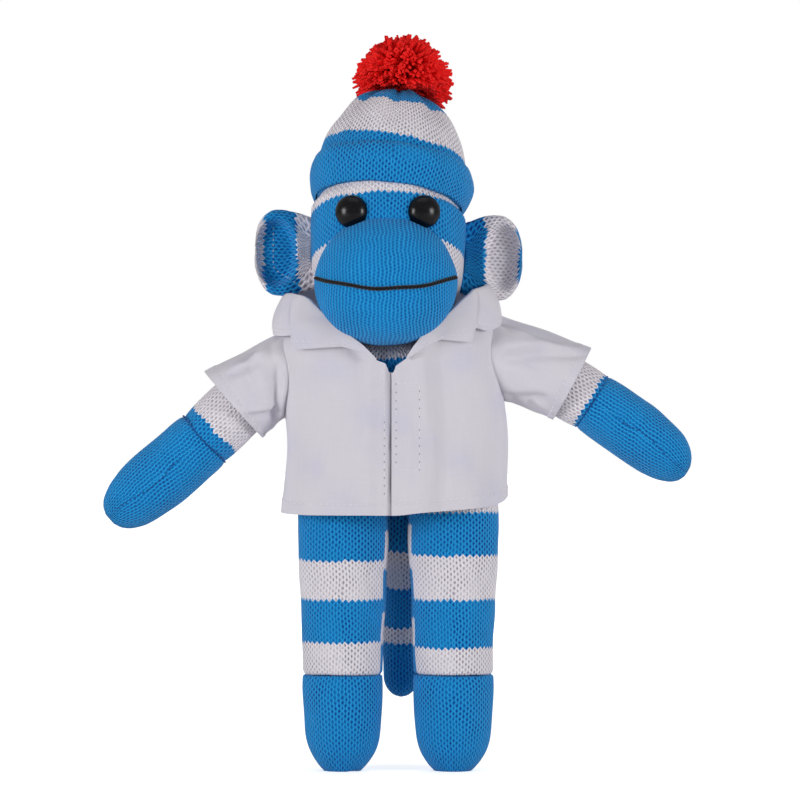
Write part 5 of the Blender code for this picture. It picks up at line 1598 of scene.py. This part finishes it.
    def add_strips(self):
        """Loops on the front below and hooks behind the lapping front, parted at the waist."""
        for layer, (node, hip) in enumerate((("loop_strip", "hip_left"), ("hook_strip", "hip_right")), 1):
            material = nylon_finish(node + " nylon", (0.42, 0.42, 0.44), layer == 1)
            out = layer * (STRIP + GAP)
            for part, low, high in (("upper", SPLIT_HEIGHT, 0.160), ("skirt", 0.125, SPLIT_HEIGHT)):
                outer, inner = [], []
                for height in np.linspace(low, high, 14):
                    turns = [front_turn(x, height) for x in np.linspace(-0.0004, 0.0087, 10)]
                    outer.append([tuple(coat_point(turn, height, out)) for turn in turns])
                    inner.append([tuple(coat_point(turn, height, out - STRIP)) for turn in turns])
                outer, inner = np.array(outer), np.array(inner)
                item = shell(f"{node}_{part}", outer, inner, cloth_places(outer))
                self.fit(item, material, node, hip if part == "skirt" else None)


class DOLL_OT_sleeves(Operator):
    """The coat's two short sleeves"""

    bl_idname = "sock_doll.sleeves"
    bl_label = "Sleeves"

    # The openings' middles, across and below the neck, then their sizes and degrees
    openings = ((-0.0683, 0.0263), (0.0722, 0.0176))
    heights = (0.0362, 0.0334)
    depths = (0.0322, 0.0350)
    drops = (41.4, 28.0)
    length, hem, stitch_row, columns = 0.028, 0.0029, 0.895, 120

    def execute(self, context):
        coat = context.scene.doll_coat
        cotton = cotton_finish("sleeve cotton", coat)
        thread = thread_finish("sleeve thread", tuple(coat.thread))
        for side in range(2):
            self.add_sleeve(side, coat, cotton, thread)
        return {"FINISHED"}

    # Creases: way and turn at both ends, how wide and how deep
    creases = (((0.42, 1.15, 0.55, 0.05, 0.30, 0.0010), (0.10, 0.25, 0.34, -1.10, 0.24, 0.0019),
                (0.95, -0.35, 0.35, -0.75, 0.18, 0.0013), (0.80, 0.75, 0.30, 0.50, 0.16, 0.0008)),
               ((0.99, 0.95, 0.10, 0.02, 0.20, 0.0017), (0.75, -0.50, 0.12, -0.95, 0.28, 0.0012),
                (0.10, 0.30, 0.42, 1.10, 0.26, 0.0009), (0.95, -1.15, 0.55, -0.90, 0.22, 0.0010)))

    def crease(self, way, turn, line):
        """A soft crease between two places, a valley above and a ridge below its line."""
        first, start, last, end, wide, deep = line
        turn = (turn + math.pi) % math.tau - math.pi
        run = Vector((last - first, (end - start) * 0.7))
        place = Vector((way - first, (turn - start) * 0.7))
        share = place.dot(run) / run.length_squared
        across = (place.x * run.y - place.y * run.x) / run.length / wide / 0.7
        ends = softly((share + 0.15) / 0.3) * softly((1.15 - share) / 0.3)
        return deep * ends * across * math.exp(0.5 - across * across * 2) * 2.4

    def wall(self, sign, y, height):
        """Where the coat's side lies across at a depth and a height."""
        x = sign * COAT_SIZE[0] / 2
        for _ in range(4):
            nominal = height - size_at(height)[2] * x
            half_width, half_depth, _ = size_at(nominal)
            x = sign * half_width * bulge((y - HIPS.y) / half_depth, SQUARENESS)
        return x + coat_shift(nominal)

    def add_sleeve(self, side, coat, cotton, thread):
        sign, word = SIGNS[side], WORDS[side]
        hole = JOINTS["shoulder_" + word] - Vector((0, 0, ARMHOLE_DROP))
        drop = math.radians(self.drops[side])
        up = Vector((sign * math.sin(drop), 0, math.cos(drop)))
        across, below = self.openings[side]
        middle = Vector((across + 0.0004, HIPS.y, NECK.z - below))

        def point(way, turn, inward):
            ahead, above = -math.cos(turn), math.sin(turn)
            y = HIPS.y + (ARMHOLE_DEPTH / 2 - inward) * ahead
            z = hole.z + (ARMHOLE_HEIGHT / 2 - inward) * above + 0.0022 + 0.0038 * max(0.0, above)
            start = Vector((self.wall(sign, y, z) - sign * 0.0014, y, z))
            end = middle + up * ((self.heights[side] / 2 - inward) * above)
            end.y = HIPS.y + (self.depths[side] / 2 - inward) * ahead
            spot = start.lerp(end, way)
            round_out = Vector((0, ahead, 0)) + up * above
            puff = 0.0004 * math.sin(math.pi * way) * max(0.0, above)
            puff += 0.0005 * math.sin(math.pi * min(1.0, way / 0.22)) * (way < 0.22)
            hem = 1 - softly(((1 - way) * self.length - self.hem + 0.0004) / 0.0008)
            fade = math.sin(math.pi * way) ** 0.6
            crease = 0.0009 * noise.noise(Vector((way * 3, turn * 1.6, 3.3 + side))) * fade
            crease += sum(self.crease(way, turn, line) for line in self.creases[side]) * fade
            lift = puff + crease + 0.0003 * hem
            if inward:
                lift -= 0.0003 * hem
            return spot + round_out * lift

        ways = np.unique(shares_at((0, 0.1, 8), (0.1, 0.86, 40), (0.86, 1, 12)))
        turns = [-sign * math.tau * i / self.columns for i in range(self.columns)]
        outer, inner = (np.array([[tuple(point(way, turn, inward)) for turn in turns] for way in ways])
                        for inward in (0.0, coat.cloth))
        around = np.concatenate((outer, outer[:, :1]), 1)
        item = shell(f"sleeve_{word}_cloth", outer, inner, cloth_places(around, len(ways) // 2), wrap=True)
        finish(item, cotton, "white_cotton", replaces=["sleeve_" + word])
        far = middle - hole
        start, end = hole + far * 0.05, hole + far * 0.75
        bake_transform(item)
        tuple(start)
        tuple(end)
        path = [point(self.stitch_row, turn, 0.0) for turn in turns + turns[:1]]
        outs = [point(self.stitch_row, turn, -0.001) - spot for turn, spot in zip(turns + turns[:1], path)]
        dashes = stitches(f"sleeve_{word}_stitches", [(path, outs, coat.stitch)], THREAD_RADIUS)
        finish(dashes, thread, "white_cotton", replaces=["sleeve_" + word])
        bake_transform(dashes)
        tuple(start)
        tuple(end)


class DOLL_OT_collar(Operator):
    """The turned-down collar with its lapels"""

    bl_idname = "sock_doll.collar"
    bl_label = "Collar"

    def execute(self, context):
        coat = context.scene.doll_coat
        turns = []
        for side in (1, 0):
            ats, folds, edges = zip(*self.lines(side))
            own = np.unique(np.concatenate((np.linspace(ats[0], ats[-1], 130), ats)))
            part = [(turn, np.interp(turn, ats, folds), np.interp(turn, ats, edges)) for turn in own]
            if side == 0:
                part = [(math.tau - turn, fold, edge) for turn, fold, edge in part[::-1]][1:]
            turns += part
        rows = 40
        outer, inner = (np.array([[tuple(self.point(*turn, row, inward)) for turn in turns]
                                  for row in np.linspace(1, 0, rows)]) for inward in (0.0, 0.0010))
        item = shell("collar_cloth", outer, inner, cloth_places(outer, rows // 2))
        finish(item, cotton_finish("collar cotton", coat), "white_cotton", "body", ["collar"])
        stitched = turns[6:-6]
        path = [self.point(*turn, STITCH_ROW, -0.00012) for turn in stitched]
        outs = [self.point(*turn, STITCH_ROW, -0.00112) - spot for turn, spot in zip(stitched, path)]
        dashes = stitches("collar_stitches", [(path, outs, coat.stitch)], THREAD_RADIUS)
        thread = thread_finish("collar thread", tuple(coat.thread))
        finish(dashes, thread, "white_cotton", "body", ["collar"])
        return {"FINISHED"}

    def lines(self, side):
        """Turn from the front, height of the fold and of the edge, from the lapel to the nape."""
        rows = [(abs(front_turn(x, 0.176)), fold, edge) for x, fold, edge in COLLAR_LINES[side]]
        fold, edge = COLLAR_SIDES[side]
        return rows + [(math.pi * 0.50, fold, edge), (math.pi * 0.60, fold + 0.0020, edge + 0.0005),
                       (math.pi * 0.76, 0.2010, 0.1812), (math.pi * 0.88, 0.2025, 0.1792),
                       (math.pi, 0.2030, 0.1787)]

    def point(self, turn, fold_height, edge_height, row, inward):
        """A point from the fold at row 0 to the edge at row 1."""
        away = turn if turn <= math.pi else turn - math.tau
        share = abs(away) / math.pi
        stand = softly((share - 0.15) / 0.20)

        def lying(height):
            nominal = min(height, TOP_HEIGHT)
            above = height - nominal
            spot = coat_point(away, nominal, plain=True)
            nominal -= spot.z - nominal
            x = spot.x
            out = 0.0018 - inward + lap_rise(x, nominal) + 0.0006 * stand
            flat = coat_point(away, nominal, out, plain=True)
            soft = drape(away, nominal) * (1 - stand)
            return flat + Vector((0, -max(-0.0002, soft), above))

        height = fold_height + (edge_height - fold_height) * row
        edge = lying(edge_height)
        flare = COLLAR_FLARES[int(away > 0)]
        half = FOLD_WIDTHS[int(away > 0)] - inward, FOLD_DEPTH - inward
        ring = oval(np.array([away - math.pi / 2]), *half, SQUARENESS)[0]
        fold = Vector((ring[0] - FOLD_LEAN, ring[1] + HIPS.y, fold_height))
        standing = fold.lerp(edge, row)
        outward = Vector((fold.x - NECK.x, fold.y - HIPS.y, 0)).normalized()
        across = abs(outward.x) ** 2
        roll = 0.0017 * across * math.sin(math.pi * min(1, row ** 0.6))
        spread = flare * across * softly(row * 1.2) + 0.0004 * math.sin(math.pi * row)
        standing += outward * (spread + roll)
        standing += outward * 0.0005 * math.sin(away * 7 + 1) * row
        standing.z += 0.0006 * math.sin(away * 5)
        return lying(height).lerp(standing, stand)


# Studio

WHITE = (1.0, 1.0, 1.0, 1.0)
# Softboxes: place, size and share of the lamp power
SOFTBOXES = {
    "left_softbox": ((-1.12, -0.78, 0.32), (0.42, 0.5), 1.0),
    "right_softbox": ((1.12, -0.78, 0.32), (0.42, 0.5), 0.9),
    "top_softbox": ((0.0, -0.25, 1.25), (0.9, 0.7), 0.12),
    "rear_softbox": ((0.25, 1.30, 0.50), (0.9, 0.7), 0.7),
}
# How much of the white all round shows in the eyes' dark plastic
MIRRORED = 0.25


class DOLL_OT_studio(Operator):
    """A pale round floor, soft lamps and the camera"""

    bl_idname = "sock_doll.studio"
    bl_label = "Studio"

    def execute(self, context):
        studio = context.scene.doll_studio
        self.add_floor(studio)
        self.add_light(context, studio)
        self.add_camera(context, studio)
        context.scene.view_settings.view_transform = "Standard"
        return {"FINISHED"}

    def add_floor(self, studio):
        rims, sides = (0.5, 1.0, 2.0, 4.0, 8.0), 64
        points, faces = [(0.0, 0.0, 0.0)], []
        for rim in rims:
            points += [(rim * math.cos(turn), rim * math.sin(turn), 0.0)
                       for turn in np.linspace(0, math.tau, sides, endpoint=False)]
        for c in range(sides):
            d = (c + 1) % sides
            faces.append((0, 1 + c, 1 + d))
            for low in range(1, 1 + (len(rims) - 1) * sides, sides):
                faces.append((low + c, low + sides + c, low + sides + d, low + d))
        item = new_mesh("studio_floor", points, faces)
        look = Finish("studio paper", 0.9, 0.1)
        place = look.spot()
        tone = tuple(studio.floor_colour)
        paper = look.mix(look.noise(place, 60.0), tone, tuple(value * 0.99 for value in tone))
        # Towards its rim the paper fades into the white all round it
        rays = look.add("LightPath").outputs
        seen = look.math("MAXIMUM", rays["Is Camera Ray"], look.times(rays["Is Glossy Ray"], MIRRORED))
        away = look.add("VectorMath", {0: place}, operation="LENGTH").outputs["Value"]
        glow = look.mapped(away, 0.3, 2.2, 0.58, 1.0)
        item.data.materials.append(look.wear({"Base Color": paper, "Emission Color": WHITE,
                                              "Emission Strength": look.times(seen, glow)}))

    def add_light(self, context, studio):
        for name, (place, size, share) in SOFTBOXES.items():
            lamp = bpy.data.lights.new(name, "AREA")
            lamp.shape = "RECTANGLE"
            lamp.size, lamp.size_y = size
            lamp.energy = studio.lamp_power * share
            item = bpy.data.objects.new(name, lamp)
            item.location = place
            item.rotation_euler = (Vector((0, 0, 0.15)) - Vector(place)).to_track_quat("-Z", "Y").to_euler()
            context.scene.collection.objects.link(item)
        world = bpy.data.worlds.new("studio light")
        context.scene.world = world
        world.use_nodes = True
        sky = Nodes(world.node_tree)
        even = sky.tree.nodes["Background"]
        sky.put(even.inputs["Color"], WHITE)
        sky.put(even.inputs["Strength"], studio.ambient)
        white = sky.add("Background", {"Color": WHITE, "Strength": 1.0})
        rays = sky.add("LightPath").outputs
        either = sky.math("MAXIMUM", rays["Is Camera Ray"], rays["Is Transmission Ray"])
        seen = sky.math("MAXIMUM", either, sky.times(rays["Is Glossy Ray"], MIRRORED))
        blend = sky.add("MixShader", {0: seen, 1: even.outputs[0], 2: white.outputs[0]})
        sky.put(sky.tree.nodes["World Output"].inputs["Surface"], blend.outputs[0])

    def add_camera(self, context, studio):
        camera = bpy.data.cameras.new("view")
        camera.sensor_width = 36
        camera.lens = 36 * studio.camera_distance / studio.view_width
        camera.clip_start = 0.01
        item = bpy.data.objects.new("view", camera)
        item.location = (studio.view_side, HIPS.y - studio.camera_distance, studio.view_height)
        item.rotation_euler = (math.radians(90), 0, 0)
        context.scene.collection.objects.link(item)
        context.scene.camera = item


OPERATORS = [kind for kind in Operator.__subclasses__() if kind.__name__.startswith("DOLL_OT_")]


class DOLL_PT_sidebar(Panel):
    """The doll's pieces, sizes and colours"""

    bl_idname = "DOLL_PT_sidebar"
    bl_label = "Sock Doll"
    bl_space_type = "VIEW_3D"
    bl_region_type = "UI"
    bl_category = "Sock Doll"

    def draw(self, context):
        column = self.layout.column()
        for kind in OPERATORS:
            column.operator(kind.bl_idname)
        for group in GROUPS:
            box = self.layout.box()
            box.label(text=group)
            values = getattr(context.scene, group)
            for key in values.__annotations__:
                box.prop(values, key)


GROUPS = {"doll_sizes": DollSizes, "doll_knit": KnitLook, "doll_coat": CoatLook, "doll_studio": StudioLook}


def register():
    for kind in (*GROUPS.values(), *OPERATORS, DOLL_PT_sidebar):
        bpy.utils.register_class(kind)
    for group, kind in GROUPS.items():
        setattr(bpy.types.Scene, group, PointerProperty(type=kind))


def unregister():
    for group in GROUPS:
        delattr(bpy.types.Scene, group)
    for kind in reversed((*GROUPS.values(), *OPERATORS, DOLL_PT_sidebar)):
        bpy.utils.unregister_class(kind)


def main():
    register()
    for kind in OPERATORS:
        group, _, call = kind.bl_idname.partition(".")
        getattr(getattr(bpy.ops, group), call)()


if __name__ == "__main__":
    main()
